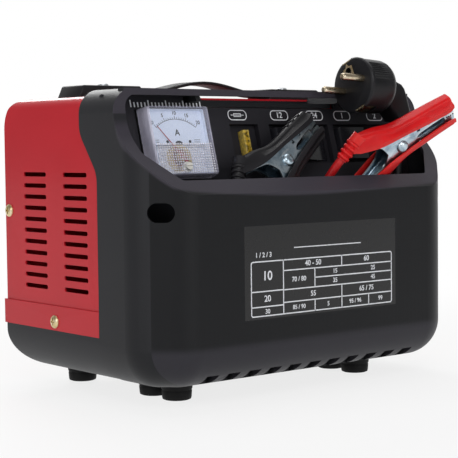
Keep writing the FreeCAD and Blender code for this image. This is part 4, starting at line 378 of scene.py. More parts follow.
def shaped(mesh, *steps):
    holder = linked("holder", mesh)
    helpers = []
    for kind, settings in steps:
        step = holder.modifiers.new(kind, kind)
        for key, value in settings.items():
            if key == "object":
                value = linked("cutter", value)
                helpers.append(value)
            setattr(step, key, value)
    return plainCopy(holder, *helpers)


def carved(mesh, *cutters):
    cut = {"operation": "DIFFERENCE", "solver": "EXACT"}
    return shaped(mesh, *(("BOOLEAN", {**cut, "object": cutter}) for cutter in cutters))


def together(*meshes):
    shape = bmesh.new()
    for mesh in meshes:
        shape.from_mesh(mesh)
    return plainMesh(shape)


def spun(profile, steps=48):
    # Turns a list of (radius, height) round Z. Ends on the axis are closed.
    shape = bmesh.new()
    angles = [math.tau * step / steps for step in range(steps)]
    rings = [[shape.verts.new((radius * math.cos(angle), radius * math.sin(angle), height))
              for angle in (angles if radius else [0])] for radius, height in profile]
    for low, high in zip(rings, rings[1:]):
        for step in range(steps):
            after = (step + 1) % steps
            corners = [low[step % len(low)], low[after % len(low)], high[after % len(high)], high[step % len(high)]]
            corners = list(dict.fromkeys(corners))
            if len(corners) > 2:
                shape.faces.new(corners)
    bmesh.ops.recalc_face_normals(shape, faces=shape.faces)
    return plainMesh(shape)


def rod(radius, low, high, steps):
    return spun([(0, low), (radius, low), (radius, high), (0, high)], steps)


def lofted(rings, closed=True, capped=True):
    # Skins rings of equal count. A ring that isn't closed makes a channel.
    shape = bmesh.new()
    rows = [[shape.verts.new(point) for point in ring] for ring in rings]
    count = len(rows[0])
    for low, high in zip(rows, rows[1:]):
        for step in range(count if closed else count - 1):
            after = (step + 1) % count
            shape.faces.new((low[step], low[after], high[after], high[step]))
    if capped:
        shape.faces.new(rows[0])
        if capped != "start":
            shape.faces.new(rows[-1])
    bmesh.ops.recalc_face_normals(shape, faces=shape.faces)
    return plainMesh(shape)


def blockMesh(low, high, bevel=0.0):
    shape = bmesh.new()
    bmesh.ops.create_cube(shape, size=1)
    size = Vector(high) - Vector(low)
    for corner in shape.verts:
        corner.co = corner.co * size + (Vector(high) + Vector(low)) / 2
    if bevel:
        bmesh.ops.bevel(shape, geom=shape.edges[:], offset=bevel, segments=2, affect="EDGES", profile=0.5)
    return plainMesh(shape)


def roundedRing(across, up, corner, steps=6):
    points = []
    for quarter, (sideways, rise) in enumerate(((1, 1), (-1, 1), (-1, -1), (1, -1))):
        for step in range(steps + 1):
            angle = math.radians(90 * quarter + 90 * step / steps)
            points.append((sideways * (across - corner) + corner * math.cos(angle),
                           rise * (up - corner) + corner * math.sin(angle)))
    return points


def stacked(levels):
    # Rounded rings, each of (height, half width, half depth, corner).
    return [[(x, y, height) for x, y in roundedRing(*ring)] for height, *ring in levels]


def frameStrip(across, up, corner, line, height):
    # Flat ring of a given line width on Z = 0, raised by a height.
    outer, inner = (across, up, corner), (across - line, up - line, max(corner - line, 0.05))
    return lofted(stacked([(0, *inner), (0, *outer), (height, *outer), (height, *inner), (0, *inner)]), capped=False)


def wordMesh(text, size, height, x, y):
    curve = bpy.data.curves.new("digits", "FONT")
    curve.body = text
    curve.size = size
    curve.align_x = curve.align_y = "CENTER"
    curve.offset = size * 0.014  # a little bolder
    curve.extrude = height / 2
    return moved(plainCopy(linked("digits", curve)), shiftBy(x, y, height / 2))


def settle(mesh, name, finish, place=None, stands=(), body="housing"):
    # Puts a finished mesh in its place in the charger and hands it to its body.
    if place is not None:
        mesh.transform(place)
    mesh.transform(Matrix.Scale(mm, 4))
    mesh.name = name
    mesh.materials.clear()
    mesh.materials.append(finishes[finish])
    for face in mesh.polygons:
        face.material_index = 0
    mesh.shade_smooth()
    mesh.set_sharp_from_angle(angle=math.radians(35))
    piece = linked(name, mesh)
    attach(piece, body)
    if stands:
        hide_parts(*stands)
    return piece


# Geometry Nodes trees for what repeats.

def newTree(name, inputs):
    # An input's kind follows its value. One with no value has its kind's name.
    tree = bpy.data.node_groups.new(name, "GeometryNodeTree")
    kinds = {int: "Int", float: "Float", tuple: "Vector"}
    for label, value in {"Geometry": "Geometry", **inputs, "Finish": "Material"}.items():
        kind = kinds.get(type(value), value)
        socket = tree.interface.new_socket(label, in_out="INPUT", socket_type="NodeSocket" + kind)
        if kind != value:
            socket.default_value = value
    tree.interface.new_socket("Geometry", in_out="OUTPUT", socket_type="NodeSocketGeometry")
    return tree, tree.nodes.new("NodeGroupInput").outputs


def endTree(tree, given, placing):
    placed = addNode(tree, "GeometryNodeInstanceOnPoints", placing)
    whole = addNode(tree, "GeometryNodeRealizeInstances", {"Geometry": placed})
    coated = addNode(tree, "GeometryNodeSetMaterial", {"Geometry": whole, "Material": given["Finish"]})
    addNode(tree, "NodeGroupOutput", {"Geometry": coated})
    return tree


def grown(mesh, tree, finish, **values):
    # Runs a tree over a mesh, with its inputs set by their labels, and gives a plain mesh.
    holder = linked("holder", mesh)
    step = holder.modifiers.new("Repeat", "NODES")
    step.node_group = tree
    values["Finish"] = finishes[finish]
    for socket in tree.interface.items_tree:
        if socket.in_out == "INPUT" and socket.name in values:
            step[socket.identifier] = values[socket.name]
    return plainCopy(holder)


def repeatTree():
    # Sets one small part on each point, its Z along the point's axis.
    tree, given = newTree("repeatedParts", {"Part": "Object", "Size": 1.0})
    part = addNode(tree, "GeometryNodeObjectInfo", {"Object": given["Part"], "As Instance": True})
    axis = addNode(tree, "GeometryNodeInputNamedAttribute", {"Name": "axis"}, data_type="FLOAT_VECTOR")
    turn = addNode(tree, "FunctionNodeAlignRotationToVector", {"Vector": axis.outputs["Attribute"]}, axis="Z")
    return endTree(tree, given, {"Points": given["Geometry"], "Instance": part.outputs["Geometry"], "Rotation": turn,
                                 "Scale": given["Size"]})


repeating = repeatTree()


def repeated(part, spots, finish):
    # One mesh with the part at every (place, axis).
    helper = linked("part", part)
    points = bpy.data.meshes.new("points")
    points.from_pydata([spot for spot, axis in spots], [], [])
    points.attributes.new("axis", "FLOAT_VECTOR", "POINT").data.foreach_set(
        "vector", [value for spot, axis in spots for value in axis])
    result = grown(points, repeating, finish, Part=helper, Size=1.0)
    bpy.data.objects.remove(helper)
    return result


def settleRow(part, spots, name, finish, *rest):
    return settle(repeated(part, spots, finish), name, finish, *rest)


def scaleTree():
    # Ticks of a dial: every fifth one is long.
    tree, given = newTree("dialScale", {"Ticks": 21, "Radius": 24.0, "Sweep": 77.0, "Start": 38.7, "Long": 2.4,
                                        "Short": 1.4, "Line": 0.22, "Height": 0.1})
    known = {"index": addNode(tree, "GeometryNodeInputIndex"), **{socket.name: socket for socket in given}}
    for name, way, *sources in (
            ("last", "SUBTRACT", "Ticks", 1.0), ("share", "DIVIDE", "index", "last"),
            ("swung", "MULTIPLY", "share", "Sweep"), ("lean", "SUBTRACT", "Start", "swung"),
            ("angle", "RADIANS", "lean"), ("fifth", "MODULO", "index", 5.0), ("isLong", "LESS_THAN", "fifth", 0.5),
            ("sine", "SINE", "angle"), ("cosine", "COSINE", "angle"), ("left", "MULTIPLY", "sine", -1.0)):
        inputs = {place: known.get(source, source) for place, source in enumerate(sources)}
        known[name] = addNode(tree, "Math", inputs, operation=way)
    length = addNode(tree, "Mix", {"Factor": known["isLong"], "A": given["Short"], "B": given["Long"]},
                     data_type="FLOAT")
    half = addNode(tree, "Math", {0: length, 1: 0.5}, operation="MULTIPLY")
    reach = addNode(tree, "Math", {0: given["Radius"], 1: half}, operation="ADD")
    heading = addNode(tree, "CombineXYZ", {"X": known["left"], "Y": known["cosine"]})
    spot = addNode(tree, "VectorMath", {0: heading, "Scale": reach}, operation="SCALE")
    spots = addNode(tree, "GeometryNodePoints", {"Count": given["Ticks"]})
    seated = addNode(tree, "GeometryNodeSetPosition", {"Geometry": spots, "Position": spot})
    tick = addNode(tree, "GeometryNodeMeshCube", {"Size": (1, 1, 1)})
    size = addNode(tree, "CombineXYZ", {"X": given["Line"], "Y": length, "Z": given["Height"]})
    turn = addNode(tree, "CombineXYZ", {"Z": known["angle"]})
    return endTree(tree, given, {"Points": seated, "Instance": tick, "Rotation": turn, "Scale": size})


def prismTree():
    # Small four-sided prisms in rows over a rectangle, as on a meter's light-spreading window.
    tree, given = newTree("windowPrisms", {"Across": 43.0, "Up": 20.0, "Columns": 26, "Rows": 12, "Prism": 1.1,
                                           "Rise": 0.5, "Screw": (0, 0, 0), "Clear": 3.4})
    spot = addNode(tree, "GeometryNodeInputPosition")
    away = addNode(tree, "VectorMath", {0: spot, 1: given["Screw"]}, operation="DISTANCE")
    kept = addNode(tree, "Math", {0: away, 1: given["Clear"]}, operation="GREATER_THAN")
    grid = addNode(tree, "GeometryNodeMeshGrid", {"Size X": given["Across"], "Size Y": given["Up"],
                                                  "Vertices X": given["Columns"], "Vertices Y": given["Rows"]})
    prism = addNode(tree, "GeometryNodeMeshCone", {"Vertices": 4, "Radius Top": 0.0, "Radius Bottom": given["Prism"],
                                                   "Depth": given["Rise"]})
    return endTree(tree, given, {"Points": grid, "Selection": kept, "Instance": prism,
                                 "Rotation": (0, 0, math.radians(45))})


print("trees built")


# Cords. The points are each lead's route, in mm, from its gland to its plug or clamp.

leadCoil = {"start": 36, "angle": 270, "way": -1, "pitch": 6.5, "quarters": 21, "turning": 11}
cordWays = {
    "mains": {
        "before": [(103, -62.5, 114.5), (103, -69, 114.5), (94.5, -77.5, 114.5), (72, -77.5, 114.5)],
        "coil": {"middle": (45, -77.5, 72), "start": 42.5, "angle": 90, "way": 1, "pitch": 7.7, "quarters": 19,
                 "turning": 10},
        "after": [(83.65, -69.8, 80), (83.65, -69.8, 95), (87.65, -66.8, 118), (91.17, -62.3, 142.17),
                  (91.53, -62.3, 149.16)],
        "radius": 3.25, "length": 1.09, "far": "plug", "finish": "cord_black"},
    "red": {
        "before": [(70, -50.5, 22.5), (70, -55, 22.5), (63.5, -61.5, 22.5), (53, -61.5, 22.5)],
        "coil": {"middle": (45, -61.5, 58.5), **leadCoil},
        "after": [(12.25, -55, 66.5), (12.25, -55, 79.5), (15, -55.4, 103), (24, -56, 125),
                  (27.61, -65.05, 140.38), (32.13, -69.39, 148.17)],
        "radius": 2.75, "length": 0.985, "far": "connector", "finish": "cord_red"},
    "black": {
        "before": [(-30, -50.5, 22.5), (-30, -55, 22.5), (-36.5, -61.5, 22.5), (-47, -61.5, 22.5)],
        "coil": {"middle": (-55, -61.5, 58.5), **leadCoil},
        "after": [(-87.75, -55, 66.5), (-87.75, -55, 79.5), (-82, -56, 99), (-68, -60, 113),
                  (-55.68, -66.80, 124.76), (-51.34, -63.23, 133.02)],
        "radius": 2.75, "length": 0.978, "far": "connector", "finish": "cord_black"},
}
pointsPerQuarter = 4


def coilPoints(coil):
    # Inwards in the front layer, a quarter turn to climb, then outwards in the rear layer.
    points = []
    spread = 1 / math.cos(math.radians(45 / pointsPerQuarter))
    for number in range(coil["quarters"] * pointsPerQuarter):
        quarter = (number + 0.5) / pointsPerQuarter
        inward = min(quarter, coil["turning"])
        outward = max(0, quarter - coil["turning"] - 1)
        radius = (coil["start"] - coil["pitch"] * (inward - outward) / 4) * spread
        climb = coil["pitch"] * min(max(quarter - coil["turning"], 0), 1)
        angle = math.radians(coil["angle"] + coil["way"] * 90 * quarter)
        points.append(Vector(coil["middle"]) + Vector((math.cos(angle) * radius, climb, math.sin(angle) * radius)))
    return points


def layCord(colour):
    way = cordWays[colour]
    curve = bpy.data.curves.new(colour + "_lead", "CURVE")
    curve.dimensions = "3D"
    curve.resolution_u = 6
    curve.bevel_depth = way["radius"] * mm
    curve.bevel_resolution = 6
    curve.use_fill_caps = True
    points = [*way["before"], *coilPoints(way["coil"]), *way["after"]]
    line = curve.splines.new("NURBS")
    line.points.add(len(points) - 1)
    for spot, point in zip(line.points, points):
        spot.co = (*(value * mm for value in point), 1)
    line.order_u = 3
    line.use_endpoint_u = True
    curve.materials.append(finishes[way["finish"]])
    piece = linked(colour + "_lead", curve)
    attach(piece, "housing")
    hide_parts(colour + "_lead_in", colour + "_coil", colour + "_lead_out")
    return piece


cords = {colour: layCord(colour) for colour in cordWays}
print("cords laid")


# Clamps. Each is made with the rivet at the origin, X to the jaw tip and Y to the upper grip. The outlines are told
# in shares of the reach.

clampFacts = {
    "reach": 45, "jawHalf": 6.4, "innerHalf": 5.2, "steel": 1.1, "gripHalf": 7.7, "skin": 1.2, "rivet": 4.3,
    "rivetRise": 2.6, "jawFrom": -0.69, "toothFrom": 0.83, "jawTo": 0.995, "teeth": 4, "tooth": 1.0, "relief": 14,
    "reliefRadius": 5.2, "holes": [(14.5, 5.2, 1.2), (24, 5.2, 1.2)],
    "ridges": {"red": ["lower"], "black": ["upper", "lower"]},
    "jawTop": [(-0.69, 0.39), (-0.32, 0.28), (0, 0.23), (0.46, 0.185), (0.8, 0.165), (0.995, 0.13)],
    "jawLow": [(-0.69, 0.31), (-0.36, 0.19), (-0.3, 0.1), (-0.21, -0.09), (-0.1, -0.115), (0.14, -0.112),
               (0.25, -0.02), (0.32, 0.035), (0.42, 0.05), (0.79, 0.046), (0.83, 0.010), (0.995, 0.010)],
    "upperTop": [(-0.7, 0.555), (-0.35, 0.47), (-0.03, 0.353), (0.415, 0.312), (0.7, 0.298), (1, 0.275)],
    "upperLow": [(-0.8, 0.335), (-0.355, 0.225), (0.17, 0.17), (0.615, 0.11), (0.92, 0.08), (1, 0.12)],
    "lowerTop": [(-0.79, -0.572), (-0.5, -0.47), (-0.21, -0.362), (0.08, -0.262), (0.56, -0.233), (0.98, -0.223)],
    "lowerLow": [(-0.83, -0.3), (-0.47, -0.195), (-0.29, -0.137), (0.19, -0.074), (0.79, -0.049), (0.98, -0.067)]}
clampPlaces = {
    "red": {"pivot": (75.2, -77.8, 159.3), "reach": (0.82, -0.30, 0.48), "rise": (-0.56, -0.355, 0.745)},
    "black": {"pivot": (-8.5, -56.8, 146.2), "reach": (0.81, 0.24, 0.53), "rise": (-0.60, 0.30, 0.74)},
}


def onCurve(corners, x):
    # Height of a smooth line through the corners, which rise in X.
    if x <= corners[0][0]:
        return corners[0][1]
    for number in range(len(corners) - 1):
        (left, low), (right, high) = corners[number:number + 2]
        if x > right:
            continue
        before = corners[max(number - 1, 0)]
        after = corners[min(number + 2, len(corners) - 1)]
        leaving = (high - before[1]) / (right - before[0])
        arriving = (after[1] - low) / (after[0] - left)
        span = right - left
        share = (x - left) / span
        cube, square = share ** 3, share ** 2
        return ((2 * cube - 3 * square + 1) * low + (cube - 2 * square + share) * span * leaving
                + (3 * square - 2 * cube) * high + (cube - square) * span * arriving)
    return corners[-1][1]


def channelRing(far, near, half, back, corner, side, turns=5):
    # U section from one lower edge, over the back and down to the other. Its back is narrower than its open side.
    ring = []
    tall = abs(far[1] - near[1])
    corner = min(corner, tall * 0.6, back)

    def spot(drop, across):
        return Vector((far[0] + (near[0] - far[0]) * drop / tall, far[1] - side * drop, across))

    for way in (-1, 1):
        edge = [spot(tall, way * half), spot(tall * 0.66, way * half)]
        edge += [spot(corner * (1 - math.sin(angle)), way * (back - corner * (1 - math.cos(angle))))
                 for angle in (math.radians(90 * turn / turns) for turn in range(turns + 1))]
        ring += edge if way < 0 else [spot(0, 0)] + edge[::-1]
    return ring


def smoothStep(share):
    share = min(max(share, 0), 1)
    return share * share * (3 - 2 * share)


def thickened(sheet, thick, side):
    return shaped(sheet, ("SOLIDIFY", {"thickness": thick, "offset": -side, "use_even_offset": False}))


def jawMesh(half, side, steps=110):
    # Folded jaw, slimmer towards its tip and its rear end, with teeth under the tip and two square holes.
    reach, start, toothed, end = (clampFacts[key] for key in ("reach", "jawFrom", "toothFrom", "jawTo"))
    rings = []
    for step in range(steps + 1):
        x = start + (end - start) * step / steps
        top, low = (onCurve(clampFacts[key], x) * reach for key in ("jawTop", "jawLow"))
        if x > toothed:
            swing = (x - toothed) / (end - toothed) * clampFacts["teeth"]
            low += clampFacts["tooth"] * (1 - abs(2 * (swing % 1) - 1))
        width = half - max(0, x - 0.45) * 2.6 - max(0, -0.3 - x) * 7.5
        rings.append(channelRing((x * reach, side * top), (x * reach, side * low), width, width * 0.97, 1.9, side))
    plate = thickened(lofted(rings, closed=False, capped=False), clampFacts["steel"], side)
    return carved(plate, *(blockMesh((x - size, side * y - size, -12), (x + size, side * y + size, 12))
                           for x, y, size in clampFacts["holes"]))


def gripMesh(top, low, side, steps=64):
    # Moulded cover: drawn in to a round end at the lead, full in the hand and slimmer again at the jaw.
    rings = []
    for step in range(steps + 1):
        share = (step / steps) ** 1.15
        ended = 1 - smoothStep(share / 0.07)
        blend = smoothStep(share / 0.28)
        spots = []
        for line in (top, low):
            x = line[0][0] + (line[-1][0] - line[0][0]) * share
            spots.append((x, onCurve(line, x)))
        middle = (spots[0][1] + spots[1][1]) / 2
        far, near = ((x * clampFacts["reach"], (y + (middle - y) * 0.22 * ended) * clampFacts["reach"])
                     for x, y in spots)
        half = 5.6 + (clampFacts["gripHalf"] - 5.6) * blend - 0.9 * smoothStep((share - 0.6) / 0.4) - 0.7 * ended
        rings.append(channelRing(far, near, half, half * (0.9 - 0.26 * blend), 4.6 - 1.8 * blend, side))
    return thickened(lofted(rings, closed=False, capped="start"), clampFacts["skin"], side)


def reliefMesh(length, base, tip, ribs, depth=0.9, seat=6):
    # Ribbed cable relief along Z, thick end at zero, with a plain seat behind it.
    profile = [(0, -seat), (base * 0.94, -seat), (base * 0.94, 0)]
    pitch = length / ribs
    for rib in range(ribs):
        outer = base + (tip + 0.6 - base) * rib / ribs
        for share, drop in ((0.0, 1.0), (0.12, 0.25), (0.25, 0), (0.5, 0), (0.62, 0.25), (0.72, 1.0)):
            profile.append((outer - depth * drop, pitch * (rib + share)))
    return spun(profile + [(tip, length), (0, length)], 40)


def clampPlace(place):
    along = Vector(place["reach"]).normalized()
    rise = Vector(place["rise"])
    rise = (rise - along * rise.dot(along)).normalized()
    return axesAt(place["pivot"], along, rise, along.cross(rise))


def ridgeSpots(top, side, first=0.56, last=0.86, count=3):
    # Cross ridges on a grip's back, for the thumb.
    spots = []
    for number in range(count):
        x = first + (last - first) * number / (count - 1)
        slope = (onCurve(top, x + 0.01) - onCurve(top, x - 0.01)) / 0.02
        normal = Vector((-slope * side, side, 0)).normalized()
        spots.append(((x * clampFacts["reach"], onCurve(top, x) * clampFacts["reach"], 0), normal))
    return spots


# The clamp's spring: a coil round the rivet, told by the degrees it has turned, with a leg to each lever.
springFacts = {"wire": 0.75, "core": 0.55, "coil": 4.4, "pitch": 2.2, "from": 70, "turned": 860, "leg": 18, "sides": 12}


def springRing(turned, beyond, thick):
    angle = math.radians(springFacts["from"] - turned)
    outward = Vector((math.cos(angle), math.sin(angle), 0))
    centre = outward * springFacts["coil"] + Vector((math.sin(angle), -math.cos(angle), 0)) * beyond
    centre.z = springFacts["pitch"] * (turned - springFacts["turned"] / 2) / 360
    turns = [math.tau * step / springFacts["sides"] for step in range(springFacts["sides"])]
    return [centre + outward * thick * math.cos(turn) + Vector((0, 0, thick * math.sin(turn))) for turn in turns]


def springHalves():
    # One half stays and the other turns with the lever. Its thin core slides in the end of the first.
    wire, core, end, leg = (springFacts[key] for key in ("wire", "core", "turned", "leg"))
    fixed = [(0, -leg, wire)] + [(turned, 0, wire) for turned in range(0, 451, 10)]
    moving = [(turned, 0, core) for turned in range(405, 453, 9)]
    moving += [(turned, 0, wire) for turned in range(454, end, 10)] + [(end, 0, wire), (end, leg, wire)]
    return [lofted([springRing(*station) for station in half]) for half in (fixed, moving)]


def buildClamp(colour):
    place = clampPlace(clampPlaces[colour])
    grip = "grip_" + colour
    radius, rise, half, reach = (clampFacts[key] for key in ("rivet", "rivetRise", "jawHalf", "reach"))
    made = []

    def add(mesh, name, finish, part="upper", stands=(), spot=place):
        made.append(settle(mesh, colour + name, finish, spot, [colour + node for node in stands],
                           bodyOf[colour + "_%s_jaw" % part]))

    sides = (("upper", 1, half), ("lower", -1, clampFacts["innerHalf"]))
    for part, side, width in sides:
        add(jawMesh(width, side), "_%s_jaw_plate" % part, "jaw_zinc", part, ["_%s_jaw" % part])
    for part, side, width in sides:
        cover = gripMesh(clampFacts[part + "Top"], clampFacts[part + "Low"], side)
        add(cover, "_%s_cover" % part, grip, part, ["_%s_grip" % part])
    heading = Vector((-0.88, -0.48, 0)).normalized().to_track_quat("Z", "Y").to_matrix().to_4x4()
    add(reliefMesh(clampFacts["relief"], clampFacts["reliefRadius"], 3.5, 4), "_clamp_relief", grip,
        spot=place @ shiftBy(-0.69 * reach, 0.44 * reach) @ heading)
    for part, side, width in sides:
        if part in clampFacts["ridges"][colour]:
            ridge = blockMesh((-1.1, -3.2, -0.8), (1.1, 3.2, 0.7), 0.35)
            ridges = repeated(ridge, ridgeSpots(clampFacts[part + "Top"], side), grip)
            add(ridges, "_%s_thumb_ridges" % part, grip, part)
    dome = spun([(0, 0)] + [(radius * share, rise * height) for share, height in (
        (0.96, 0), (1, 0.18), (0.92, 0.5), (0.7, 0.82), (0.4, 0.97), (0.3, 0.99), (0.18, 0.9), (0, 0.86))])
    heads = repeated(dome, [((0, 0, side * (half - 0.05)), (0, 0, side)) for side in (1, -1)], "jaw_zinc")
    add(together(heads, rod(2.2, -half, half, 24)), "_rivet_domes", "jaw_zinc", stands=["_rivet"])
    still, turning = springHalves()
    add(still, "_spring_coil", "jaw_zinc", stands=["_spring"])
    add(turning, "_spring_leg", "jaw_zinc", "lower")
    return made


clampPieces = {colour: buildClamp(colour) for colour in clampPlaces}
print("clamps built")


# Mains plug, with its face at X = 0 and its pins towards -X. The round body is told as (along, radius), and the
# outlet block as (height, near, far, half width).

plugFacts = {
    "place": (50, -62.3, 197.4), "tilt": 3, "pinLine": 25, "radius": 18.5, "pin": 2.4, "pinLength": 19, "spacing": 19,
    "earth": 10, "relief": 24, "reliefRadius": 5.8, "clipWidth": 8, "clipLength": 11, "sides": 144,
    "pads": {"from": 3.4, "to": 21, "low": 12, "high": 56, "rise": 0.42, "rib": 2.5},
    "body": [(0.0, 17.0), (0.5, 17.9), (1.3, 18.5), (3.0, 18.5), (3.4, 18.0), (3.7, 18.0), (12, 18.0), (20.4, 17.9),
             (22.5, 17.4), (24.5, 16.3), (26.4, 14.4), (27.6, 12.2), (28.2, 9.0)],
    "outlet": [(10, 20, 28.4, 5), (7.4, 20, 31.4, 6.2), (4, 20, 37, 7), (2.8, 20, 40.6, 7.4), (0, 20, 43.5, 7.6),
               (-4, 21, 45.4, 7.7), (-8, 24, 47, 7.7), (-16, 31, 50.3, 7.7), (-21, 35.8, 51.6, 7.6),
               (-22, 36.6, 51.2, 7.2)]}
plugPlace = shiftBy(*plugFacts["place"]) @ turnBy(plugFacts["tilt"], "Y")
pinPlace = turnBy(-plugFacts["pinLine"], "X")
earthPlace = shiftBy(0, 0, plugFacts["earth"]) @ turnBy(90, "Y")


def padRise(along, angle):
    # The two ribbed pads stand a little proud, above the middle on either side.
    pads = plugFacts["pads"]
    height = math.degrees(math.asin(math.sin(angle)))
    within = pads["low"] <= height <= pads["high"] and pads["from"] < along < pads["to"]
    return pads["rise"] if within and round(height / pads["rib"]) % 2 == 0 else 0


def plugBody():
    angles = [math.tau * step / plugFacts["sides"] for step in range(plugFacts["sides"])]
    rings = []
    for along, radius in plugFacts["body"]:
        reaches = [radius + padRise(along, angle) for angle in angles]
        rings.append([(along, reach * math.cos(angle), reach * math.sin(angle))
                      for reach, angle in zip(reaches, angles)])
    socket = moved(rod(plugFacts["pin"], -1, 11, 24), pinPlace @ earthPlace)
    side = plugFacts["clipWidth"] / 2 + 0.4
    grooves = []
    for way in (-1, 1):
        low, high = sorted((way * (plugFacts["radius"] - 2.2), way * (plugFacts["radius"] + 1)))
        grooves.append(moved(blockMesh((-1, -side, low), (plugFacts["clipLength"] + 0.6, side, high)), pinPlace))
    outlet = []
    for height, near, far, half in plugFacts["outlet"]:
        reach = (far - near) / 2
        outlet.append([((near + far) / 2 + x, y, height) for x, y in roundedRing(reach, half, min(3.4, reach * 0.8))])
    return together(carved(lofted(rings), socket, *grooves), lofted(outlet))


def earthPlate():
    # Bright contact plate round the earth socket, with its pointed upper edge.
    outline = [(-4.2, -4), (4.2, -4), (4.2, 2.6), (1.6, 3.2), (0, 5.8), (-1.6, 3.2), (-4.2, 2.6)]
    plate = lofted([[(x, y, plugFacts["earth"] + z) for y, z in outline] for x in (-0.3, 0.05)])
    return carved(plate, moved(rod(2.6, -3, 3, 32), earthPlace))


def earthClip(side):
    # Sprung brass strip in its groove, bowed a little outward.
    rings = []
    half = plugFacts["clipWidth"] / 2
    for along, lift in ((0.2, -0.9), (0.5, -0.1), (2.5, 0.35), (5.5, 0.55), (8.5, 0.35), (10.6, -0.2)):
        level = side * (plugFacts["radius"] - 1.5 + lift)
        low, high = level - 0.4, level + 0.4
        rings.append([(along, -half, low), (along, half, low), (along, half, high), (along, -half, high)])
    return lofted(rings)


plugPiece = settle(plugBody(), "plug_shell", "plug_rubber", plugPlace, ["plug_body"])
plugRelief = settle(reliefMesh(plugFacts["relief"], plugFacts["reliefRadius"], 3.9, 7, 0.9, 2), "plug_relief",
                    "plug_rubber", plugPlace @ shiftBy(44, 0, -22) @ turnBy(180, "X"))
pinRadius, pinLength = plugFacts["pin"], plugFacts["pinLength"]
pinMesh = spun([(0, -2), (pinRadius, -2), (pinRadius, pinLength - 2.2), (pinRadius * 0.92, pinLength - 1.2),
                (pinRadius * 0.66, pinLength - 0.35), (0, pinLength)], 32)
pins = repeated(pinMesh, [((0, side * plugFacts["spacing"] / 2, 0), (-1, 0, 0)) for side in (-1, 1)], "plated_brass")
contacts = settle(together(pins, earthClip(1), earthClip(-1), earthPlate()), "plug_pins", "plated_brass",
                  plugPlace @ pinPlace, ["plug_contacts"])
print("plug built")


# Glands in the pocket's back wall.

glandFacts = {"wall": -44.5, "mains": (103, 114.5), "mainsRelief": 14, "leads": [(70, 22.5), (-30, 22.5)]}
mainsBoot = reliefMesh(glandFacts["mainsRelief"], 6.5, 4.5, 4, 0.9, 7)
flange = spun([(0, -4), (7.6, -4), (8, -3.6), (8, -0.5), (7.5, 0), (0, 0)], 40)
sixSidedNut = spun([(0, -11), (8, -11), (8, -6.5), (5.5, -6.5), (5.5, -4), (0, -4)], 6)
x, z = glandFacts["mains"]
settle(together(mainsBoot, flange, sixSidedNut), "mains_gland_boot", "cord_black",
       shiftBy(x, glandFacts["wall"] - 4, z) @ turnBy(90, "X"), ["mains_gland"])
grommet = together(reliefMesh(3.5, 4.7, 3.8, 2, 0.5, 8),
                   spun([(0, -2.5), (5.1, -2.5), (5.4, -2.1), (5.4, -0.4), (5.0, 0), (0, 0)], 32))
settleRow(grommet, [((x, glandFacts["wall"] - 2.5, z), (0, -1, 0)) for x, z in glandFacts["leads"]], "lead_grommets",
          "cord_black", None, ["output_glands"])
print("glands built")


# Feet and screws. A screw is (radius, rise, shank radius, shank length, half the cross).

footFacts = {"tall": 13.5, "top": 10.5, "low": 9.3, "well": 5.25, "wellDeep": 7,
             "spots": [(side * place, along) for side in (-1, 1) for place, along in ((78, -34), (78, -10), (81, 68))]}
tall, top, low, well, wellDeep = (footFacts[key] for key in ("tall", "top", "low", "well", "wellDeep"))
footMesh = spun([(0, wellDeep), (well, wellDeep), (well, 0.8), (well + 0.8, 0), (low - 1.4, 0), (low - 0.3, 0.5),
                 (low, 1.5), (low + 0.3, 5.5), (low + 0.1, 5.9), (low + 0.1, 6.4), (low + 0.5, 6.8), (top, tall - 0.6),
                 (top - 0.4, tall), (0, tall)])
settleRow(footMesh, [((x, y, 0), (0, 0, 1)) for x, y in footFacts["spots"]], "turned_feet", "black_rubber", None,
          ["rubber_feet"])


def crossHead(radius, rise, shank, reach, slot):
    # Pan head with a cross recess, on its shank.
    head = spun([(0, 0), (radius, 0), (radius, rise * 0.25), (radius * 0.95, rise * 0.55), (radius * 0.78, rise * 0.85),
                 (radius * 0.5, rise), (0, rise)], 40)
    arms = [blockMesh((-x, -y, rise * 0.35), (x, y, rise + 1), 0.1)
            for x, y in ((slot, slot * 0.24), (slot * 0.24, slot))]
    return together(carved(head, *arms), rod(shank, -reach, 0.1, 20))


screwFacts = {"case": (4.2, 1.8, 1.9, 7, 2.3), "handle": (3.8, 1.8, 1.9, 15.5, 2.1),
              "dial": (0.95, 0.5, 0.5, 0.5, 0.6), "front": (24, 48), "rear": (128.6, 79.5, 117),
              "top": (79, 40.7, 198.3)}
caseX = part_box("case_screws")[1].x / mm - screwFacts["case"][1]
caseSpots = [((side * x, y, z), (side, 0, 0)) for side in (-1, 1)
             for x, y, z in ((caseX, *screwFacts["front"]), screwFacts["rear"])]
settleRow(crossHead(*screwFacts["case"]), caseSpots, "cross_head_screws", "yellow_zinc", None, ["case_screws"])
x, y, z = screwFacts["top"]
settleRow(crossHead(*screwFacts["handle"]), [((side * x, y, z), (0, 0, 1)) for side in (-1, 1)],
          "handle_cross_screws", "bright_steel", None, ["handle_screws"])
print("feet and screws set")


# Handle: two end caps and the arched strap between them.

handleFacts = {"place": 40.7, "inner": 56, "length": 51, "width": 26, "height": 8.8, "slope": 4, "base": 189.5,
               "bevel": 1.3, "strapWidth": 20, "strapThick": 2.2, "strapRise": 8, "strapLevel": 3, "strapHalf": 98,
               "rows": 72, "grooveDeep": 0.22}


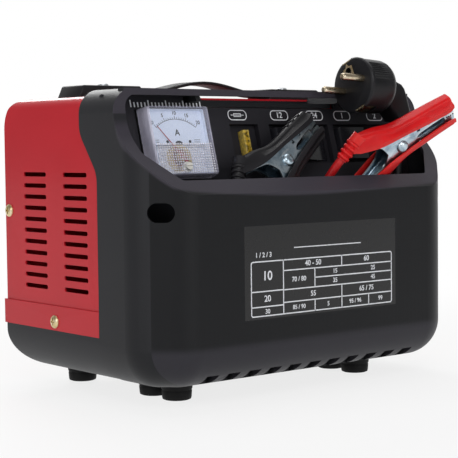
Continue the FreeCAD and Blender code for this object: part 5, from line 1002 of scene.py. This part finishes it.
def handleCap(side):
    inner, low = handleFacts["inner"], handleFacts["base"]
    far, high = inner + handleFacts["length"], low + handleFacts["height"]
    outline = [(inner, low), (far, low), (far - handleFacts["slope"], high), (inner + 1, high)]
    half = handleFacts["width"] / 2
    body = shaped(lofted([[(side * x, y, z) for x, z in outline] for y in (-half, half)]),
                  ("BEVEL", {"width": handleFacts["bevel"], "segments": 3, "limit_method": "ANGLE"}))
    left, right = sorted((side * (inner - 5), side * (handleFacts["strapHalf"] + 1.5)))
    reach, level = handleFacts["strapWidth"] / 2 + 0.3, low + handleFacts["strapLevel"] - 0.3
    slot = blockMesh((left, -reach, level), (right, reach, level + handleFacts["strapThick"] + 0.6))
    return carved(body, slot, moved(rod(2.0, -30, 30, 20), shiftBy(side * screwFacts["top"][0], 0, low)))


def strapMesh():
    # Rubber strap: an arch with fine grooves along its top.
    rings = []
    half = handleFacts["strapWidth"] / 2
    for step in range(handleFacts["rows"] + 1):
        x = handleFacts["strapHalf"] * (2 * step / handleFacts["rows"] - 1)
        arch = 0.5 * (1 + math.cos(math.pi * min(abs(x) / handleFacts["inner"], 1)))
        level = handleFacts["base"] + handleFacts["strapLevel"] + handleFacts["strapRise"] * arch
        section = [(-half, 0.5), (-half + 0.4, 0.1), (-half + 1, 0), (half - 1, 0), (half - 0.4, 0.1), (half, 0.5),
                   (half, 1.7), (half - 0.5, 2.1)]
        for groove in range(33):
            y = (half - 1) * (1 - 2 * groove / 32)
            dip = handleFacts["grooveDeep"] if groove % 4 == 2 and abs(y) < half - 2 else 0
            section.append((y, handleFacts["strapThick"] - dip))
        section += [(-half + 0.5, 2.1), (-half, 1.7)]
        rings.append([(x, y, level + z) for y, z in section])
    return lofted(rings)


handlePlace = shiftBy(0, handleFacts["place"])
settle(together(handleCap(-1), handleCap(1)), "bevelled_caps", "handle_black", handlePlace, ["handle_caps"])
settle(strapMesh(), "grooved_strap", "handle_black", handlePlace, ["handle_strap"])
print("handle built")


# Instrument panel: drawn flat, X across, Y up the slope and Z out of its face, then leaned into place.

panelFacts = {"row": (0, -35.48, 159.0), "slope": 15.5, "meterX": -79.3, "needleDrop": 9.6, "scale": 24.4,
              "sweep": 77.0, "rest": 38.7, "cardLevel": 6.1, "coverFront": 12, "coverLean": 1.5, "print": 0.12}
panelPlace = shiftBy(*panelFacts["row"]) @ turnBy(90 - panelFacts["slope"], "X")
meterPlace = panelPlace @ shiftBy(panelFacts["meterX"], 0)
pivotPlace = meterPlace @ shiftBy(0, -panelFacts["needleDrop"])


def onDial(share, radius, *height):
    # A place on the dial, some way along its scale.
    angle = math.radians(panelFacts["rest"] - panelFacts["sweep"] * share)
    return (-math.sin(angle) * radius, math.cos(angle) * radius, *height)


def dialPrint():
    scale = panelFacts["scale"]
    ticks = grown(bpy.data.meshes.new("scaleHost"), scaleTree(), "darkInk", Ticks=21, Radius=scale,
                  Sweep=panelFacts["sweep"], Start=panelFacts["rest"], Long=2.2, Short=1.3, Line=0.26, Height=0.1)
    section = ((scale - 0.12, 0.02), (scale + 0.16, 0.02), (scale + 0.16, 0.1), (scale - 0.12, 0.1))
    parts = [moved(ticks, shiftBy(0, 0, 0.06)),
             lofted([[onDial(step / 60, *corner) for corner in section] for step in range(61)])]
    parts += [wordMesh(str(5 * number), 3.3, 0.1, *onDial(number / 4, scale + 3.9)) for number in range(5)]
    parts.append(wordMesh("A", 5.6, 0.1, 0, panelFacts["needleDrop"] + 6.1))
    for x, half in ((-16.5, 1.3), (14.5, 2.3)):
        parts += [blockMesh((x - half, low, 0.02), (x + half, low + 0.3, 0.1)) for low in (9.6, 10.9)]
    angles = [math.radians(turn) for turn in range(0, 181, 15)]
    parts.append(lofted([[(3.2 * math.cos(angle), 8.2 + 2.4 * math.sin(angle), z) for angle in angles]
                         for z in (0.02, 0.12)]))
    return together(*parts)


def meterTray():
    # Pale tray behind the dial: a floor with four thin walls that stand beside the card.
    floor = blockMesh((-21.7, -20.7, 1.55), (21.7, 20.7, 2.1), 0.2)
    outer, inner = (21.75, 20.75, 1.2), (21.35, 20.35, 1.2)
    walls = stacked([(1.6, *outer), (8.4, *outer), (8.4, *inner), (1.6, *inner), (1.6, *outer)])
    return together(floor, lofted(walls, capped=False))


def needleMesh():
    rings = [[(-half, y, low) for half, low in ((width, 0), (-width, 0), (-width, 0.45), (width, 0.45))]
             for y, width in ((-4.6, 0.9), (-1.5, 0.8), (1.8, 0.5), (12, 0.24), (25.3, 0.12))]
    hub = spun([(0.5, -0.2), (1.5, -0.2), (1.6, 0), (1.6, 0.9), (1.3, 1.2), (0.5, 1.2), (0.5, -0.2)], 28)
    return together(lofted(rings), hub)


def meterCover():
    # Clear box with a thick rim, open at the back, and a hole for the zero screw.
    half, tall, front, lean = 25, 22.5, panelFacts["coverFront"], panelFacts["coverLean"]
    levels = [(1.5, 0.0, 1.0), (front - 2.2, lean * 0.8, 1.4), (front - 0.9, lean, 1.8),
              (front - 0.2, lean + 0.7, 2.0), (front, lean + 1.6, 2.2)]
    outer = lofted(stacked([(level, half - inset, tall - inset * 0.4, corner) for level, inset, corner in levels]))
    inner = blockMesh((-half + 3, -tall + 1.5, 0), (half - 3, tall - 1.5, front - 1.5), 0.8)
    return carved(outer, inner, moved(rod(2.46, 0, 30, 32), shiftBy(0, -16.8)))


def coverRim():
    # Side walls and moulded edge of the clear box, drawn with a pale veil: painted light, for the brightness the clear
    # edges catch.
    levels = [(1.7, 24.7, 22.3), (9.8, 23.9, 21.9), (11.2, 23.1, 21.6), (11.7, 22.4, 21.1), (11.2, 22.1, 21.1),
              (9.6, 22.3, 21.2), (1.7, 23.0, 21.4), (1.7, 24.7, 22.3)]
    return lofted(stacked([(*level, 1.6) for level in levels]), capped=False)


settle(dialPrint(), "dial_print", "darkInk", pivotPlace @ shiftBy(0, 0, panelFacts["cardLevel"]))
dialSpots = [((side * 8.7, 0.4, panelFacts["cardLevel"]), (0, 0, 1)) for side in (-1, 1)]
settleRow(crossHead(*screwFacts["dial"]), dialSpots, "dial_screws", "meter_black", meterPlace)
settle(meterTray(), "meter_inner_tray", "paleTray", meterPlace)
fieldCoil = spun([(3.5, 2.4), (4.0, 2.0), (5.5, 2.0), (5.9, 2.4), (5.9, 4.6), (5.5, 5.1), (4.0, 5.1), (3.5, 4.6),
                  (3.5, 2.4)], 40)
settle(fieldCoil, "meter_field_coil", "copper_wire", pivotPlace)
settle(needleMesh(), "tapered_needle", "needle_black",
       pivotPlace @ shiftBy(0, 0, 7.5) @ turnBy(panelFacts["rest"], "Z"), ["meter_needle"], bodyOf["meter_needle"])
settle(meterCover(), "meter_window", "clear_cover", meterPlace, ["meter_cover"])
# The rim's pale veil is painted light on the clear edges.
settle(coverRim(), "meter_cover_rim", "paleRimPaintedLight", meterPlace)
prisms = grown(bpy.data.meshes.new("prismHost"), prismTree(), "ribbedClear", Across=41.0, Up=17.6, Columns=25, Rows=12,
               Prism=0.86, Rise=0.5, Screw=(0.0, -5.4, 0.0), Clear=3.6)
settle(prisms, "meter_window_prisms", "ribbedClear", meterPlace @ shiftBy(0, -11.4, 11.6))
print("meter built")


# White marks on the panel: a rounded frame over each control, with a plain number, or a fuse's sign.

markFacts = {"ticks": 21, "tickLong": 4.6, "tickShort": 3.2, "tickLow": 24.2, "tickSpan": 54, "level": 19.6,
             "frame": (7.9, 3.5, 3.2, 0.6), "fuse": (3.1, 1.2, 0.3, 0.45), "size": 5.6,
             "frames": [(-23.2, ""), (13, "12"), (44.7, "24"), (70.8, "1"), (102.5, "2")]}


def panelMarks():
    parts = []
    height, level, low = panelFacts["print"], markFacts["level"], markFacts["tickLow"]
    for x, text in markFacts["frames"]:
        parts.append(moved(frameStrip(*markFacts["frame"], height), shiftBy(x, level)))
        if text:
            parts.append(wordMesh(text, markFacts["size"], height, x, level))
        else:
            parts += [moved(frameStrip(*markFacts["fuse"], height), shiftBy(x, level)),
                      blockMesh((x - 5.4, level - 0.22, 0), (x + 5.4, level + 0.22, height))]
    for number in range(markFacts["ticks"]):
        tall = markFacts["tickLong"] if number % 5 == 0 else markFacts["tickShort"]
        x = panelFacts["meterX"] + markFacts["tickSpan"] * (number / (markFacts["ticks"] - 1) - 0.5)
        parts.append(blockMesh((x - 0.45, low, 0), (x + 0.45, low + tall, height)))
    return together(*parts)


settle(panelMarks(), "panel_marks", "whiteInk", panelPlace)


# Rating plate: a plain grid with plain numbers, as (across, up, text, size).

labelFacts = {
    "front": -86.02, "line": 0.7, "left": -60.3, "right": 61.5, "low": 54, "high": 88, "height": 0.1,
    "upright": [(-34, 54, 88), (15.8, 81.1, 88), (-7.6, 69.2, 81.1), (-7.6, 54, 61.4), (15.8, 54, 69.2),
                (39.9, 54, 61.4)],
    "level": [(69.4, -60.3, -34), (60, -60.3, -34), (81.1, -34, 61.5), (75.2, -7.6, 61.5), (69.2, -34, 61.5),
              (61.4, -34, 61.5)],
    "numbers": [(-47, 78.6, "10", 8), (-47, 64.7, "20", 5.4), (-47, 56.9, "30", 4), (-9, 84.5, "40 - 50", 4.8),
                (38, 84.5, "60", 4.8), (-21, 75.1, "70 / 80", 4.2), (10, 78.1, "15", 4), (44, 78.1, "25", 4),
                (10, 72.2, "35", 4), (44, 72.2, "45", 4), (-9, 65.2, "55", 4.6), (38, 65.2, "65 / 75", 4.6),
                (-21, 57.7, "85 / 90", 3.8), (4, 57.7, "5", 4), (27.8, 57.7, "95 / 96", 3.8), (50.7, 57.7, "99", 4),
                (-50, 91.6, "1 / 2 / 3", 4.2)]}


def labelPrint():
    left, right, low, high = (labelFacts[key] for key in ("left", "right", "low", "high"))
    line, half, height = labelFacts["line"], labelFacts["line"] / 2, labelFacts["height"]
    outline = frameStrip((right - left) / 2, (high - low) / 2, 1.8, line, height)
    parts = [moved(outline, shiftBy((right + left) / 2, (high + low) / 2))]
    parts += [blockMesh((x - half, low, 0), (x + half, high, height)) for x, low, high in labelFacts["upright"]]
    parts += [blockMesh((left, z - half, 0), (right, z + half, height)) for z, left, right in labelFacts["level"]]
    parts += [wordMesh(text, size, height, x, z) for x, z, text, size in labelFacts["numbers"]]
    return together(*parts, blockMesh((-25, 94.6, 0), (33, 95.2, height)))


settle(labelPrint(), "rating_plate_print", "whiteInk", shiftBy(0, labelFacts["front"]) @ turnBy(90, "X"))
print("marks printed")


# Front moulding's small forms: webs that round the mouth's upper corners, and the lip under the cover's front edge.

mouthFacts = {"edge": 121, "top": 189.4, "front": -43.8, "back": -40.8, "round": 7, "steps": 12,
              "lipLow": (-59.5, -7.1, 183.6), "lipHigh": (59.5, -6, 188.2)}


def cornerWeb(side):
    turn, steps, edge, top = (mouthFacts[key] for key in ("round", "steps", "edge", "top"))
    angles = [math.radians(90 * step / steps) for step in range(steps + 1)]
    outline = [(edge, top)] + [(edge - turn + turn * math.cos(angle), top - turn + turn * math.sin(angle))
                               for angle in angles]
    return lofted([[(side * x, y, z) for x, z in outline] for y in (mouthFacts["front"], mouthFacts["back"])])


settle(together(cornerWeb(-1), cornerWeb(1)), "mouth_corner_webs", "black_moulding")
settle(blockMesh(mouthFacts["lipLow"], mouthFacts["lipHigh"], 0.1), "dip_rear_lip", "black_moulding")
print("corners rounded")


# Blade fuse: moulded body with its two test slots, on two blades.

fuseFacts = {"x": -19.2, "half": 2.55, "tall": 9.55, "front": 1.0, "back": -9.0, "blade": (0.35, 7.25, 2.3)}


def fuseBody():
    half, tall = fuseFacts["half"], fuseFacts["tall"]
    body = blockMesh((-half, -tall, -5.2), (half, tall, fuseFacts["front"]), 0.5)
    waist = blockMesh((-half * 0.72, -tall + 0.9, fuseFacts["back"]), (half * 0.72, tall - 0.9, -5.0), 0.3)
    slots = [blockMesh((-0.8, side * 6.2 - 1.5, 0.2), (0.8, side * 6.2 + 1.5, 3), 0.2) for side in (-1, 1)]
    return together(carved(body, *slots), waist)


fusePlace = panelPlace @ shiftBy(fuseFacts["x"], 0)
thick, apart, half = fuseFacts["blade"]
blades = [blockMesh((-thick, side * apart - half, -18), (thick, side * apart + half, -8.5), 0.15) for side in (-1, 1)]
settle(fuseBody(), "fuse_moulding", "fuse_plastic", fusePlace, ["blade_fuse"], bodyOf["blade_fuse"])
settle(together(*blades), "fuse_blades", "bright_steel", fusePlace, (), bodyOf["blade_fuse"])
print("fuse built")


# Floor, backdrop and light. A lamp is (place, size, power).

studio = {"floor": "#f6f6f6", "world": 0.26, "backdrop": (0.63, 0.77, 0.1), "floorGlow": 0.8,
          "lamps": {"keyLamp": ((-1.1, -1.5, 1.3), 1.0, 14), "frontLamp": ((0.1, -2.0, 0.5), 0.8, 6),
                    "topLamp": ((0.1, 0.2, 1.7), 1.0, 7), "sideLamp": ((-2.0, -0.5, 0.6), 0.8, 7),
                    "shoulderLamp": ((0.5, 1.4, 1.1), 0.7, 9)}}


def seenDirectly(tree):
    # The rays that show the white background: from the camera, and by a mirror or through glass.
    path = addNode(tree, "LightPath").outputs
    mirrored = addNode(tree, "Math", {0: path["Is Glossy Ray"], 1: path["Is Transmission Ray"]}, operation="MAXIMUM")
    return path["Is Camera Ray"], mirrored


def paleFloor():
    shape = bmesh.new()
    bmesh.ops.create_circle(shape, cap_ends=True, radius=6, segments=64)
    mesh = plainMesh(shape, "paleFloor")
    tree, place = newFinish("paleFloorPaint")
    far = addNode(tree, "VectorMath", {0: place}, operation="LENGTH")
    fade = addNode(tree, "MapRange", {"From Min": 0.2, "From Max": 0.7, "To Min": studio["floorGlow"], "Value": far},
                   interpolation_type="SMOOTHSTEP")
    direct, mirrored = seenDirectly(tree)
    either = addNode(tree, "Math", {0: direct, 1: mirrored}, operation="MAXIMUM")
    seen = addNode(tree, "Math", {0: fade, 1: either}, operation="MULTIPLY")
    paint = addNode(tree, "BsdfPrincipled", {"Base Color": hexColour(studio["floor"]), "Roughness": 0.7})
    glow = addNode(tree, "Emission", {"Color": (1, 1, 1, 1), "Strength": 1.0})
    both = addNode(tree, "MixShader", {0: seen, 1: paint, 2: glow})
    addNode(tree, "OutputMaterial", {"Surface": both})
    mesh.materials.append(bpy.data.materials["paleFloorPaint"])
    linked("paleFloor", mesh)


def setLight():
    for name, (place, size, power) in studio["lamps"].items():
        lamp = bpy.data.lights.new(name, "AREA")
        lamp.size = size
        lamp.energy = power
        item = linked(name, lamp)
        item.location = place
        item.rotation_euler = (Vector((0, 0, 0.1)) - Vector(place)).to_track_quat("-Z", "Y").to_euler()
    world = bpy.data.worlds.new("studioWorld")
    scene.world = world
    world.use_nodes = True
    tree = world.node_tree
    tree.nodes.clear()
    direct, mirrored = seenDirectly(tree)
    heading = addNode(tree, "TexCoord").outputs["Generated"]
    facing = addNode(tree, "VectorMath", {0: heading, 1: Vector(studio["backdrop"]).normalized()},
                     operation="DOT_PRODUCT")
    behind = addNode(tree, "MapRange", {"From Min": 0.35, "From Max": 0.75, "Value": facing},
                     interpolation_type="SMOOTHSTEP")
    reflected = addNode(tree, "Math", {0: mirrored, 1: behind}, operation="MULTIPLY")
    white = addNode(tree, "Math", {0: direct, 1: reflected}, operation="MAXIMUM")
    strength = addNode(tree, "MapRange", {"To Min": studio["world"], "To Max": 1.0, "Value": white})
    sky = addNode(tree, "Background", {"Color": (1, 1, 1, 1), "Strength": strength})
    addNode(tree, "OutputWorld", {"Surface": sky})


paleFloor()
setLight()
print("studio lit")
